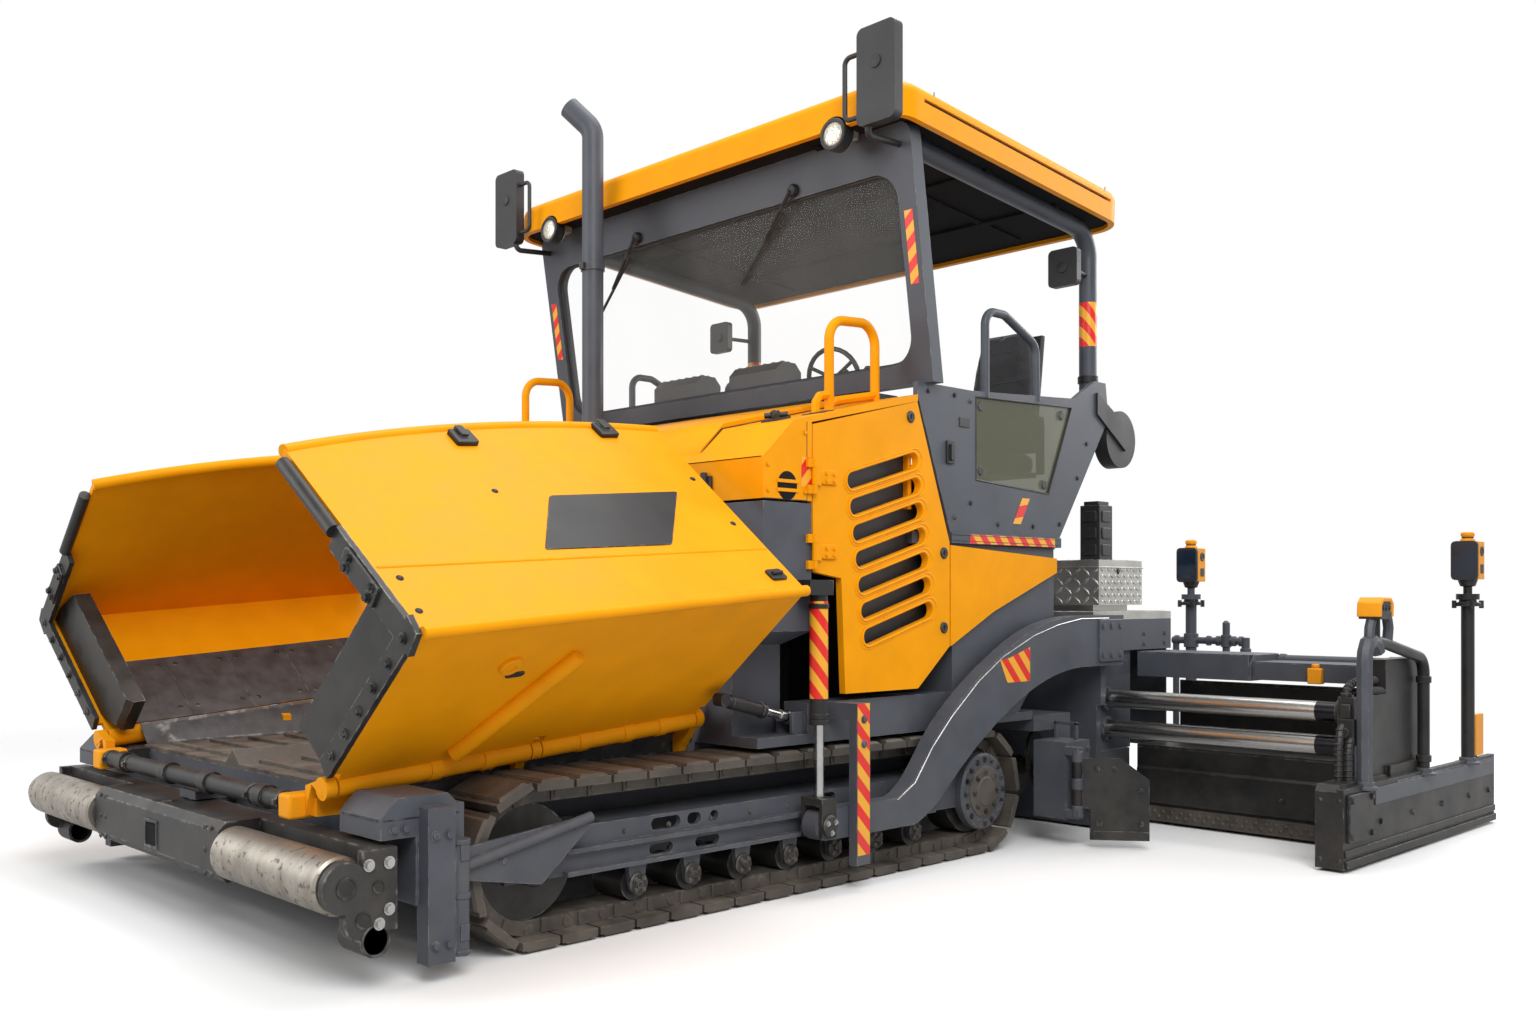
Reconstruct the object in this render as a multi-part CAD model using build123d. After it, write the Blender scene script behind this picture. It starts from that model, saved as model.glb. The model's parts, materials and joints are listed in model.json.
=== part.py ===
from build123d import *
import math
import os

os.makedirs("parts", exist_ok=True)

# Tracked asphalt paver. Millimetres; X forward, Y to the left, Z up, ground at Z = 0.
# Left-hand pieces are modelled and mirrored in the XZ plane for the right-hand side.

# Overall limits and shared planes
LENGTH = 6300          # push roller front to screed end plate rear
BODY_Y = 1262          # outer face of hood, doors and fenders
SHEET = 25             # body panel thickness
RUN_GAP = 0.06         # radial running clearance of pins and journals
FACE_GAP = 6           # clearance between pieces that move past each other

# Tracks
TRACK_OUT_Y = 1250     # outer end of the shoes
SHOE_WIDTH = 305
SHOE_LENGTH = 158
SHOE_T = 26
SHOE_COUNT = 40
SHOE_SINK = 1.5        # shoe's seat in the link chain
PAD_T = 12             # road pad on each shoe
PAD_LENGTH = 124
PAD_BEVEL = 9
TRACK_R = 290          # over the shoes' pads
LINK_T = 52            # height of the link chain
LINK_WIDTH = 150
IDLER_X = 2275
SPROCKET_X = -345
ROLLER_R = 62
ROLLER_COUNT = 7
FRAME_PLATE = 22       # side plates of the track frame
COVER_R = 178          # final drive cover
COVER_T = 45

# Chassis
CHASSIS_Y = 880
CHASSIS_Z = (235, 545)
CHASSIS_REAR_X = -780
CHASSIS_FRONT_X = 2620
TUNNEL_WIDTH = 640     # one of the two conveyor tunnels
TUNNEL_WALL = 45
DECK_Z = 640           # top of the plate that carries engine and tanks
BULKHEAD_X = (905, 1190)
BULKHEAD_TOP = 1600
SILL_HEIGHT = 125
SILL_FRONT_X = 890

# Hopper
WING_HINGE = (2940, 985, 585)    # front end of the hinge line
WING_TILT = 4.4                  # hinge line rises to the rear
WING_LENGTH = 1650
WING_T = 24
FOLD_OUT = 622                   # fold line beside the hinge line
FOLD_UP = 510                    # and above it
FOLD_R = 20                      # rounding of the fold's outer edge
UPPER_LEAN = 52                  # upper panel leans in from the vertical
RIM_FRONT = 950                  # upper panel height at front, crown and rear
RIM_CROWN = 1105
RIM_REAR = 1085
RIM_R = 24
HINGE_TUBE_R = 38
HINGE_PIN_R = 20
LUG_T = 40
FLOOR_T = 16
SLAT_COUNT = 9
MOUTH_TUBE_R = 33
CYL_BASE = Vector(935, 1165, 705)    # wing cylinder's ball on the engine frame
CYL_EYE = Vector(1350, 1190, 800)    # and its eye under the wing
CYL_R = 28
CYL_ROD_R = 18
CYL_BALL_R = 30

# Push beam
BEAM_SWING_X = 2935
CROSSBEAM_X = 2800
BEAM_Z = (215, 440)
BEAM_HALF = 1310
ROLLER_PUSH_R = 90
ROLLER_PUSH_Y = (572, 1284)
JOURNAL_R = 30
JOURNAL_LENGTH = 60
CHEEK_T = 30
PIVOT_PIN_R = 35
TOW_PIN_R = 28
STUB_R = 52
STUB_BORE_R = 42

# Hood, doors and fenders
HOOD_FRONT_X = 1190
HOOD_REAR_X = 190
HOOD_LOW_Z = 1560
HOOD_NOSE_Z = 1750
HOOD_BROW = (1010, 1905)
HOOD_TOP_Z = 2090
DOOR_FRONT_X = 895
DOOR_LOW_Z = 795
DOOR_REAR = (-45, 1445)    # corner where the door's rear edge turns upright
DOOR_T = 30
DOOR_HINGE_R = 12
DOOR_PIN_R = 6
DOOR_HINGE_Z = (1345, 1650)    # lower ends of the two hinges
DOOR_KNUCKLE = 70
LOUVRE_COUNT = 7
LOUVRE_LENGTH = 500
LOUVRE_HEIGHT = 70
LOUVRE_PITCH = 109
LOUVRE_SHIFT = 18      # each louvre lies this much behind the one above
LOUVRE_SLOPE = 15
LOUVRE_FIRST = (436, 1738)

# Operator's platform and roof
FLOOR_Z = 1490
FLOOR_REAR_X = -990
SIDE_TOP_Z = 2150
SCREEN_LEAN = 9        # windscreen frame leans forward
SCREEN_HEIGHT = 1040
SCREEN_HALF = 1295
SCREEN_BAR = 95
SCREEN_T = 75
GLASS_T = 12
ROOF_LENGTH = 1930
ROOF_HALF = 1350
ROOF_HEIGHT = 165
ROOF_WALL = 30
ROOF_SLOPE = 4.6
ROOF_FRONT = (457, 3342)    # middle of the front edge
LAMP_R = 62
POST_R = 44
POST_X = -1385
RAIL_R = 20
EXHAUST_R = 56
EXHAUST_TOP = 3640

# Tow arms and screed
TOW_POINT = (915, 285)
TOW_PIN_ARM_R = 30
ARM_IN_Y = 1275
ARM_T = 70
SCREED_HALF = 1250
SCREED_FRONT_X = -1350
SCREED_LOW_Z = 12
SCREED_BOX = (340, 385)          # depth and height of the main screed box
WALK_Z = 1120                    # top of the main screed's walkway
EXT_INNER_Y = 1262
EXT_OUTER_Y = 2500
EXT_DEPTH = 430
TUBE_R = 46
TUBE_Z = (515, 670)
TUBE_X = -1520
TUBE_SHIFT = 60        # left tubes lie this much forward, right tubes rearward
END_PLATE_T = 28
END_PLATE_FRONT_X = -1120
DISPLAY_Z = (1289, 1480)         # case of each display
END_PLATE_HEIGHT = 350
AUGER_X = -1055
AUGER_Z = 330
AUGER_R = 185
AUGER_SHAFT_R = 42
AUGER_PITCH = 330
FLIGHT_STEPS = 14      # ruled faces in one turn of the flight
AUGER_Y = (135, 1205)
TUNNEL_HINGE = (-800, 1455)
TUNNEL_PLATE_LENGTH = 330
TUNNEL_PLATE_TURN = 131          # direction of the plate from +X, seen from above


def block(x, y, z):
    """Box between pairs of limits along X, Y and Z."""
    limits = [sorted(pair) for pair in (x, y, z)]
    size = [high - low for low, high in limits]
    middle = [(high + low) / 2 for low, high in limits]
    return Pos(*middle) * Box(*size)


def side_plate(points, y):
    """Plate with a side outline of (x, z) points between two Y limits."""
    low, high = sorted(y)
    outline = make_face(Polyline(*[(px, low, pz) for px, pz in points], close=True))
    return extrude(outline, amount=high - low, dir=(0, 1, 0))


def cross_plate(points, x):
    """Plate with a front outline of (y, z) points between two X limits."""
    low, high = sorted(x)
    outline = make_face(Polyline(*[(low, py, pz) for py, pz in points], close=True))
    return extrude(outline, amount=high - low, dir=(1, 0, 0))


def bar(start, end, radius):
    """Round bar between two points."""
    axis = Vector(*end) - Vector(*start)
    return Part() + Solid.make_cylinder(radius, axis.length, Plane(origin=start, z_dir=axis))


def pipe(points, radius, bend):
    """Bent round tube through points."""
    path = FilletPolyline(*points, radius=bend)
    section = Plane(origin=path @ 0, z_dir=path % 0) * Circle(radius)
    return sweep(section, path=path)


def mirrored(shape):
    """The right-hand twin of a left-hand shape."""
    return mirror(shape, about=Plane.XZ)


def save(name, *shapes):
    """Write one node as a STEP file."""
    solids = [solid for shape in shapes for solid in shape.solids()]
    export_step(Compound(solids), f"parts/{name}.step")


def save_pair(name, left):
    """Write a left-hand node and its right-hand twin."""
    save(f"{name}_left", left)
    save(f"{name}_right", mirrored(left))


# Tracks
TRACK_MID_Y = TRACK_OUT_Y - SHOE_WIDTH / 2
CHAIN_OUT_R = TRACK_R - PAD_T - SHOE_T
CHAIN_IN_R = CHAIN_OUT_R - LINK_T
AXLE_Z = TRACK_R
AXLE_SPAN = IDLER_X - SPROCKET_X
PLATE_IN = (TRACK_MID_Y - LINK_WIDTH / 2 - FACE_GAP - FRAME_PLATE, TRACK_MID_Y - LINK_WIDTH / 2 - FACE_GAP)
PLATE_OUT = (TRACK_MID_Y + LINK_WIDTH / 2 + FACE_GAP, TRACK_MID_Y + LINK_WIDTH / 2 + FACE_GAP + FRAME_PLATE)


def loop_sketch(radius):
    """Stadium outline of the track at a radius from the axles, in side view."""
    view = Plane(origin=((IDLER_X + SPROCKET_X) / 2, TRACK_MID_Y, AXLE_Z), x_dir=(1, 0, 0), z_dir=(0, -1, 0))
    return view * SlotCenterToCenter(AXLE_SPAN, 2 * radius)


def track():
    """Link chain with its shoes and their bevelled pads."""
    chain = extrude(loop_sketch(CHAIN_OUT_R) - loop_sketch(CHAIN_IN_R), amount=LINK_WIDTH / 2, both=True)
    pitch_line = loop_sketch(CHAIN_OUT_R).wire()
    half_length, half_width = SHOE_LENGTH / 2, SHOE_WIDTH / 2
    shoe = block((-half_length, half_length), (-SHOE_SINK, SHOE_T), (-half_width, half_width))
    pad = block((-PAD_LENGTH / 2, PAD_LENGTH / 2), (SHOE_T - SHOE_SINK, SHOE_T + PAD_T),
                (-half_width, half_width))
    shoe += chamfer(pad.edges().group_by(Axis.Y)[-1], PAD_BEVEL)
    shoes = []
    for index in range(SHOE_COUNT):
        spot = pitch_line.position_at(index / SHOE_COUNT)
        along = pitch_line.tangent_at(index / SHOE_COUNT)
        centre_x = min(max(spot.X, SPROCKET_X), IDLER_X)
        outward = Vector(spot.X - centre_x, 0, spot.Z - AXLE_Z)
        seat = Plane(origin=spot, x_dir=along, z_dir=Vector(along).cross(outward))
        shoes.append(seat * shoe)
    return chain + shoes


ROLLER_Z = PAD_T + SHOE_T + LINK_T + ROLLER_R + 0.5
ROLLER_END = 480       # first and last bottom roller from the axles
ROLLER_STEP = (AXLE_SPAN - 2 * ROLLER_END) / (ROLLER_COUNT - 1)
ROLLER_PLACES = [SPROCKET_X + ROLLER_END + index * ROLLER_STEP for index in range(ROLLER_COUNT)]
FRAME_SLOTS = (        # share of the axle span, height over the axles, length and height
    (0.763, 70, 150, 46), (0.707, 70, 72, 46), (0.666, 70, 44, 40), (0.772, -22, 120, 40), (0.68, -22, 130, 40),
    (0.42, 70, 150, 46), (0.36, -22, 130, 40),
)


def track_frame():
    """Two side plates with roller tabs on a top plate, with slots, ribs and the final drive cover."""
    nose = 120
    skirt_z = AXLE_Z - 62
    top_z = AXLE_Z + 105
    outline = [
        (SPROCKET_X - nose, skirt_z), (SPROCKET_X - nose, AXLE_Z + 60), (SPROCKET_X + nose, top_z),
        (IDLER_X - nose, top_z), (IDLER_X + nose, AXLE_Z + 60), (IDLER_X + nose, skirt_z),
    ]
    frame = block((SPROCKET_X + 330, IDLER_X - 330), (PLATE_IN[0], PLATE_OUT[1]), (top_z - FRAME_PLATE, top_z))
    for y in (PLATE_IN, PLATE_OUT):
        frame += side_plate(outline, y)
        for x in ROLLER_PLACES:
            tab = [(x - 46, skirt_z + 1), (x + 46, skirt_z + 1), (x + 26, ROLLER_Z - 30),
                   (x - 26, ROLLER_Z - 30)]
            frame += side_plate(tab, y)
    slot_face = Plane(origin=(0, PLATE_OUT[0], 0), x_dir=(1, 0, 0), z_dir=(0, -1, 0))
    for share, height, length, width in FRAME_SLOTS:
        place = Pos(SPROCKET_X + AXLE_SPAN * share, AXLE_Z + height)
        frame -= extrude(slot_face * place * SlotOverall(length, width), amount=FRAME_PLATE + 2, both=True)
    rib_x = (SPROCKET_X + 360, IDLER_X - 130)
    for z in (skirt_z, AXLE_Z + 16):
        frame += block(rib_x, (PLATE_OUT[1] - 1, PLATE_OUT[1] + 30), (z, z + 16))
    cover = bar((SPROCKET_X, PLATE_OUT[1] - 1, AXLE_Z), (SPROCKET_X, PLATE_OUT[1] + COVER_T, AXLE_Z), COVER_R)
    return frame + chamfer(cover.edges().filter_by(GeomType.CIRCLE).group_by(Axis.Y)[-1], 10)


def track_wheels():
    """Sprocket, idler and bottom rollers, each seated between the frame's plates."""
    wheels = []
    rim_r = CHAIN_IN_R - 0.5
    hub_r = 70
    rim_half = LINK_WIDTH / 2 - 12
    for x in (SPROCKET_X, IDLER_X):
        wheel = bar((x, TRACK_MID_Y - rim_half, AXLE_Z), (x, TRACK_MID_Y + rim_half, AXLE_Z), rim_r)
        wheel += bar((x, PLATE_IN[1], AXLE_Z), (x, PLATE_OUT[0], AXLE_Z), hub_r)
        wheels.append(wheel)
    for x in ROLLER_PLACES:
        wheels.append(bar((x, PLATE_IN[1], ROLLER_Z), (x, PLATE_OUT[0], ROLLER_Z), ROLLER_R))
    return Part() + wheels


save_pair("track", track())
save("track_frames", track_frame(), mirrored(track_frame()))
save("track_wheels", track_wheels(), mirrored(track_wheels()))


# Chassis
BED_Z = CHASSIS_Z[1]


def chassis():
    """Box with two conveyor tunnels and the cross beams to the track frames."""
    body = block((CHASSIS_REAR_X, CHASSIS_FRONT_X), (-CHASSIS_Y, CHASSIS_Y), CHASSIS_Z)
    mid = TUNNEL_WIDTH / 2 + TUNNEL_WALL
    for side in (-1, 1):
        y = (side * (mid - TUNNEL_WIDTH / 2), side * (mid + TUNNEL_WIDTH / 2))
        body -= block((CHASSIS_REAR_X, CHASSIS_FRONT_X), y, (CHASSIS_Z[0] + TUNNEL_WALL, BED_Z - TUNNEL_WALL))
    beam_half = 110
    for x in (250, 1750):
        for side in (-1, 1):
            reach = (side * (CHASSIS_Y - 1), side * PLATE_IN[0])
            body += block((x - beam_half, x + beam_half), reach, (AXLE_Z - 50, AXLE_Z + 50))
    return body


def engine_frame():
    """Deck over the tracks with side sills and the bulkhead behind the hopper."""
    plate = block((CHASSIS_REAR_X, BULKHEAD_X[1]), (-BODY_Y + 32, BODY_Y - 32), (BED_Z + 55, DECK_Z))
    plate += block((CHASSIS_REAR_X, BULKHEAD_X[1]), (-CHASSIS_Y, CHASSIS_Y), (BED_Z, BED_Z + 55))
    sill_rear = -100
    for side in (-1, 1):
        y = (side * (BODY_Y - 160), side * (BODY_Y - 32))
        plate += block((sill_rear, SILL_FRONT_X), y, (DECK_Z, DECK_Z + SILL_HEIGHT))
        for step in (-1, 1):
            ear = CYL_BASE.Y + step * (CYL_BALL_R + 0.3)
            plate += block((SILL_FRONT_X - 1, CYL_BASE.X + 25), (side * ear, side * (ear + step * 16)),
                           (DECK_Z, CYL_BASE.Z + 25))
    neck = BODY_Y - 170
    shoulder_z = 1000
    outline = [
        (-neck, DECK_Z), (-neck, shoulder_z), (-BODY_Y, shoulder_z + 60), (-BODY_Y, BULKHEAD_TOP - SHEET),
        (BODY_Y, BULKHEAD_TOP - SHEET), (BODY_Y, shoulder_z + 60), (neck, shoulder_z), (neck, DECK_Z),
    ]
    wall = cross_plate(outline, BULKHEAD_X)
    hollow_half = neck - 60
    wall -= block((BULKHEAD_X[0] - 1, BULKHEAD_X[1] - 20), (-hollow_half, hollow_half),
                  (DECK_Z + 20, HOOD_LOW_Z - 40))
    return plate + wall


def track_guard():
    """Triangular plate and tube in front of the track."""
    y = TRACK_OUT_Y + 18
    plate = side_plate([(2665, 300), (2665, 390), (2130, 440), (2090, 405), (2300, 235)], (y, y + 14))
    return plate + bar((2655, y + 20, 330), (2090, y + 20, 440), 18)


def front_crossbeam():
    """Beam ahead of the tracks with chamfered corner blocks, end posts, track guards and the swing pin."""
    beam = block((CHASSIS_FRONT_X, CROSSBEAM_X), (-1290, 1290), (240, BED_Z))
    for side in (-1, 1):
        corner_z = (BEAM_Z[1] + 15, BED_Z + 35)
        corner = block((CHASSIS_FRONT_X, 2925), (side * 1042, side * 1290), corner_z)
        slope = 0.48 * (corner_z[1] - corner_z[0])
        beam += chamfer(corner.edges().filter_by(Axis.Y).group_by(Axis.Z)[-1], slope)
        beam += block((2690, 2790), (side * 1280, side * 1345), (60, BED_Z))
        beam += bar((2655, side * 1318, 75), (2655, side * 1318, 430), 30)
        beam += block((2655, 2700), (side * 1300, side * 1336), (90, 410))
        beam += track_guard() if side > 0 else mirrored(track_guard())
    ear = (CROSSBEAM_X - 10, BEAM_SWING_X + PIVOT_PIN_R + 8)
    for z in ((BEAM_Z[0] - 36, BEAM_Z[0] - FACE_GAP), (BEAM_Z[1] + FACE_GAP, BEAM_Z[1] + 36)):
        beam += block(ear, (-70, 70), z)
    beam += bar((BEAM_SWING_X, 0, BEAM_Z[0] - 36), (BEAM_SWING_X, 0, BEAM_Z[1] + 36), PIVOT_PIN_R)
    return beam


def hopper_floor():
    """Steel floor of the hopper with the conveyor's cross slats and its centre ridge."""
    x = (BULKHEAD_X[1] + FACE_GAP, CROSSBEAM_X)
    y = CHASSIS_Y - 20
    floor = block(x, (-y, y), (BED_Z, BED_Z + FLOOR_T))
    for index in range(SLAT_COUNT):
        at = x[0] + (index + 0.5) * (x[1] - x[0]) / SLAT_COUNT
        for side in (-1, 1):
            lane = (side * 70, side * (y - 90))
            floor += block((at - 14, at + 14), lane, (BED_Z + FLOOR_T - 1, BED_Z + FLOOR_T + 14))
    ridge = [(-60, BED_Z + FLOOR_T - 1), (0, BED_Z + 70), (60, BED_Z + FLOOR_T - 1)]
    return floor + cross_plate(ridge, x)


def hopper_mouth():
    """Cross tube at the hopper's mouth with collars, and the two blocks that hold it."""
    x = 2972
    z = BEAM_Z[1] + 82
    reach = 800
    tube = bar((x, -reach, z), (x, reach, z), MOUTH_TUBE_R)
    for y in (-620, -180, 180, 620):
        tube += bar((x, y - 28, z), (x, y + 28, z), MOUTH_TUBE_R + 9)
    for side in (-1, 1):
        ends = (side * reach, side * (reach + 75))
        tube += block((CROSSBEAM_X, x + 40), ends, (z - 42, z + MOUTH_TUBE_R - 3))
    return tube


save("chassis_frame", chassis())
save("engine_frame", engine_frame())
save("front_crossbeam", front_crossbeam())
save("hopper_floor", hopper_floor())
save("hopper_mouth_tube", hopper_mouth())


# Hopper wings, modelled about the hinge line and then tilted into place
WING_PLACE = Pos(*WING_HINGE) * Rot(0, WING_TILT, 0)
LEAN = math.radians(UPPER_LEAN)
UP = Vector(0, -math.sin(LEAN), math.cos(LEAN))
UP_IN = Vector(0, -math.cos(LEAN), -math.sin(LEAN))
FOLD = Vector(0, FOLD_OUT, FOLD_UP)
LOW_SPAN = FOLD.length
LOW_UP = FOLD * (1 / LOW_SPAN)
LOW_IN = Vector(0, -LOW_UP.Z, LOW_UP.Y)
RIM_RAKE = 95          # upper rear corner lies this much behind the fold's rear end
LUG_PLACES = (0, 0.5, 1)


def wing():
    """Bent side wall with a rolled rim, fold bar, outer rib and hinge tube."""
    rear = Vector(-WING_LENGTH, 0, 0)
    crown = Vector(-0.62 * WING_LENGTH, 0, 0)
    rake = Vector(-RIM_RAKE, 0, 0)
    front_rim = FOLD + UP * RIM_FRONT
    crown_rim = FOLD + crown + UP * RIM_CROWN
    rear_rim = FOLD + rear + rake + UP * RIM_REAR
    rim = ThreePointArc(front_rim, crown_rim, rear_rim)
    upper = make_face(Line(FOLD, front_rim) + rim + Line(rear_rim, FOLD + rear) + Line(FOLD + rear, FOLD))
    upper = extrude(upper, amount=WING_T, dir=UP_IN)
    root = LOW_UP * (HINGE_TUBE_R - 8)
    lower = make_face(Polyline(root, FOLD, FOLD + rear, root + rear, close=True))
    lower = extrude(lower, amount=WING_T, dir=LOW_IN)
    shell = upper + lower + bar(FOLD, FOLD + rear, FOLD_R)
    roll = ThreePointArc(*[point + UP_IN * (WING_T / 2) for point in (front_rim, crown_rim, rear_rim)])
    shell += sweep(Plane(origin=roll @ 0, z_dir=roll % 0) * Circle(RIM_R), path=roll)
    rib_x = -560
    rib_out = LOW_IN * -12
    rib_low = Vector(rib_x + 120, 0, 0) + LOW_UP * 90 + rib_out
    rib_high = Vector(rib_x - 130, 0, 0) + LOW_UP * 600 + rib_out
    shell += bar(rib_low, rib_high, 30) + bar((0, 0, 0), rear, HINGE_TUBE_R)
    shell -= bar((1, 0, 0), rear - Vector(1, 0, 0), HINGE_PIN_R + RUN_GAP)
    for share in LUG_PLACES:
        x = -share * WING_LENGTH
        notch = LUG_T / 2 + FACE_GAP
        shell -= block((x - notch, x + notch), (-70, 62), (-80, 62))
    return WING_PLACE * shell


def wing_edge():
    """Dark steel along the wing's front edge: thick mouth flap, edge plates and edge rod."""
    thick = 22
    flap_width = 285
    flap_x = -35
    outline = [(70, WING_T), (LOW_SPAN - 38, WING_T), (LOW_SPAN - 62, 110), (LOW_SPAN - 170, flap_width),
               (-85, flap_width), (-44, 81)]
    corners = [Vector(flap_x, 0, 0) + LOW_UP * up + LOW_IN * inward for up, inward in outline]
    flap = extrude(make_face(Polyline(*corners, close=True)), amount=75, dir=(-1, 0, 0))
    flap = chamfer(flap.edges().group_by(Axis.X)[-1].sort_by(Axis.Y)[:2], 24)
    low_strip = extrude(make_face(Polyline(LOW_UP * 60, LOW_UP * LOW_SPAN, LOW_UP * LOW_SPAN + LOW_IN * 70,
                                           LOW_UP * 60 + LOW_IN * 70, close=True)), amount=thick, dir=(1, 0, 0))
    strip_high = 0.55 * RIM_FRONT
    up_strip = extrude(make_face(Polyline(FOLD, FOLD + UP * strip_high, FOLD + UP * strip_high + UP_IN * 85,
                                          FOLD + UP_IN * 85, close=True)), amount=thick, dir=(1, 0, 0))
    rod_shift = Vector(thick + 2, 0, 0) + UP_IN * 20
    rod = bar(FOLD + UP * strip_high + rod_shift, FOLD + UP * (RIM_FRONT - RIM_R - 30) + rod_shift, 24)
    return WING_PLACE * (flap + low_strip + up_strip + rod)


def wing_hinge():
    """Pin of the hinge line and the lugs that carry it on the chassis side."""
    pin = bar((LUG_T / 2, 0, 0), (-WING_LENGTH - LUG_T / 2, 0, 0), HINGE_PIN_R)
    for share in LUG_PLACES:
        x = -share * WING_LENGTH
        pin += bar((x - LUG_T / 2, 0, 0), (x + LUG_T / 2, 0, 0), HINGE_TUBE_R)
    hinge = WING_PLACE * pin
    slope = math.tan(math.radians(WING_TILT))
    for share in LUG_PLACES:
        along = share * WING_LENGTH * math.cos(math.radians(WING_TILT))
        x = WING_HINGE[0] - along
        z = WING_HINGE[2] + along * slope
        root_x = min(x, CROSSBEAM_X)
        lug = [(CHASSIS_Y, BED_Z - 60), (CHASSIS_Y + 40, 2 * TRACK_R + 12), (WING_HINGE[1] + 5, z - 28),
               (WING_HINGE[1] - 5, z + 30), (CHASSIS_Y, z)]
        hinge += cross_plate(lug, (x - LUG_T / 2, x + LUG_T / 2))
        if root_x < x:
            hinge += block((root_x, x), (CHASSIS_Y, CHASSIS_Y + 40), (BED_Z - 60, BED_Z))
    return hinge


save_pair("wing", wing())
save_pair("wing_edge", wing_edge())
save("wing_hinges", wing_hinge(), mirrored(wing_hinge()))


# Wing cylinders between engine frame and wing
CYL_SPAN = (CYL_EYE - CYL_BASE).length
CYL_PLACE = Plane(origin=CYL_BASE, z_dir=CYL_EYE - CYL_BASE)
CYL_MOUTH = 0.40 * CYL_SPAN    # open end of the barrel
CYL_FOOT = 0.88 * CYL_SPAN     # and its closed end
CYL_REACH = 0.64 * CYL_SPAN    # rod's end inside the barrel
UPRIGHT = (Align.CENTER, Align.CENTER, Align.MIN)


def wing_barrel():
    """Cylinder barrel with its eye under the wing."""
    barrel = Cylinder(CYL_R, CYL_FOOT - CYL_MOUTH, align=UPRIGHT)
    barrel += Cylinder(CYL_R + 5, 22, align=UPRIGHT)
    barrel -= Cylinder(CYL_ROD_R + RUN_GAP, CYL_FOOT - CYL_MOUTH - 30, align=UPRIGHT)
    neck = Pos(0, 0, CYL_FOOT - 1) * Cylinder(CYL_ROD_R + 6, CYL_SPAN - CYL_FOOT, align=UPRIGHT)
    eye = bar(CYL_EYE - Vector(0, 24, 0), CYL_EYE + Vector(0, 24, 0), CYL_BALL_R - 4)
    return CYL_PLACE * (Pos(0, 0, CYL_MOUTH) * barrel + neck) + eye


def wing_rod():
    """Cylinder rod with its ball eye on the engine frame."""
    rod = Cylinder(CYL_ROD_R, CYL_REACH, align=UPRIGHT)
    rod += Cylinder(CYL_ROD_R + 6, CYL_BALL_R + 34, align=UPRIGHT)
    return CYL_PLACE * (rod + Sphere(CYL_BALL_R))


save_pair("wing_cylinder", wing_barrel())
save_pair("wing_cylinder_rod", wing_rod())


# Push beam with its rollers
PUSH_X = LENGTH / 2 - ROLLER_PUSH_R    # roller axis
PUSH_Z = 335
JOURNAL_OUT = ROLLER_PUSH_Y[1] + FACE_GAP + CHEEK_T - 10


def push_beam():
    """Swinging beam with a centre box, end cheeks, roller bearings and tie-down stubs."""
    rear = BEAM_SWING_X - PIVOT_PIN_R - 15
    beam = block((rear, PUSH_X - ROLLER_PUSH_R - FACE_GAP), (-BEAM_HALF, BEAM_HALF), BEAM_Z)
    cheek_in = ROLLER_PUSH_Y[0] - FACE_GAP
    centre = block((rear, PUSH_X + 55), (-cheek_in, cheek_in), (BEAM_Z[0] + 20, BEAM_Z[1]))
    beam += chamfer(centre.edges().filter_by(Axis.Y).group_by(Axis.X)[-1], 30)
    cheek = [(rear, 190), (rear, BEAM_Z[1]), (PUSH_X - 55, BEAM_Z[1]), (PUSH_X - 55, 190)]
    cheek_r = ROLLER_PUSH_R - 12
    for side in (-1, 1):
        y = side * (ROLLER_PUSH_Y[1] + FACE_GAP)
        beam += side_plate(cheek, (y, y + side * CHEEK_T))
        for x, z, radius in ((PUSH_X, PUSH_Z, cheek_r), (PUSH_X - 55, PUSH_Z - 105, 62)):
            beam += bar((x, y, z), (x, y + side * CHEEK_T, z), radius)
        stub = (rear + 75, side * (BEAM_HALF - 130), 165)
        beam += bar(stub, (rear + 75, y + side * CHEEK_T, 165), STUB_R)
        beam += block((rear + 45, rear + 95), (stub[1], y), (190, 240))
        beam -= bar((stub[0], stub[1] - side, 165), (rear + 75, y + side * (CHEEK_T + 1), 165), STUB_BORE_R)
        journal = (side * (ROLLER_PUSH_Y[0] - JOURNAL_LENGTH - FACE_GAP), side * (JOURNAL_OUT + 2))
        beam -= bar((PUSH_X, journal[0], PUSH_Z), (PUSH_X, journal[1], PUSH_Z), JOURNAL_R + RUN_GAP)
    beam -= bar((BEAM_SWING_X, 0, 0), (BEAM_SWING_X, 0, 600), PIVOT_PIN_R + RUN_GAP)
    beam -= bar((PUSH_X - 15, 0, 0), (PUSH_X - 15, 0, 600), TOW_PIN_R)
    return beam


def push_roller():
    """Steel roller on its journals."""
    y0, y1 = ROLLER_PUSH_Y
    roller = bar((PUSH_X, y0, PUSH_Z), (PUSH_X, y1, PUSH_Z), ROLLER_PUSH_R)
    roller = chamfer(roller.edges().filter_by(GeomType.CIRCLE), 8)
    return roller + bar((PUSH_X, y0 - JOURNAL_LENGTH, PUSH_Z), (PUSH_X, JOURNAL_OUT, PUSH_Z), JOURNAL_R)


save("push_beam", push_beam())
save_pair("push_roller", push_roller())


# Hood, doors, fenders and engine
BODY_IN = BODY_Y - SHEET


def hood_line(x):
    """Height of the hood's top at a place along it."""
    share = (HOOD_BROW[0] - x) / (HOOD_BROW[0] - HOOD_REAR_X)
    return HOOD_BROW[1] + share * (HOOD_TOP_Z - HOOD_BROW[1])


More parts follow.
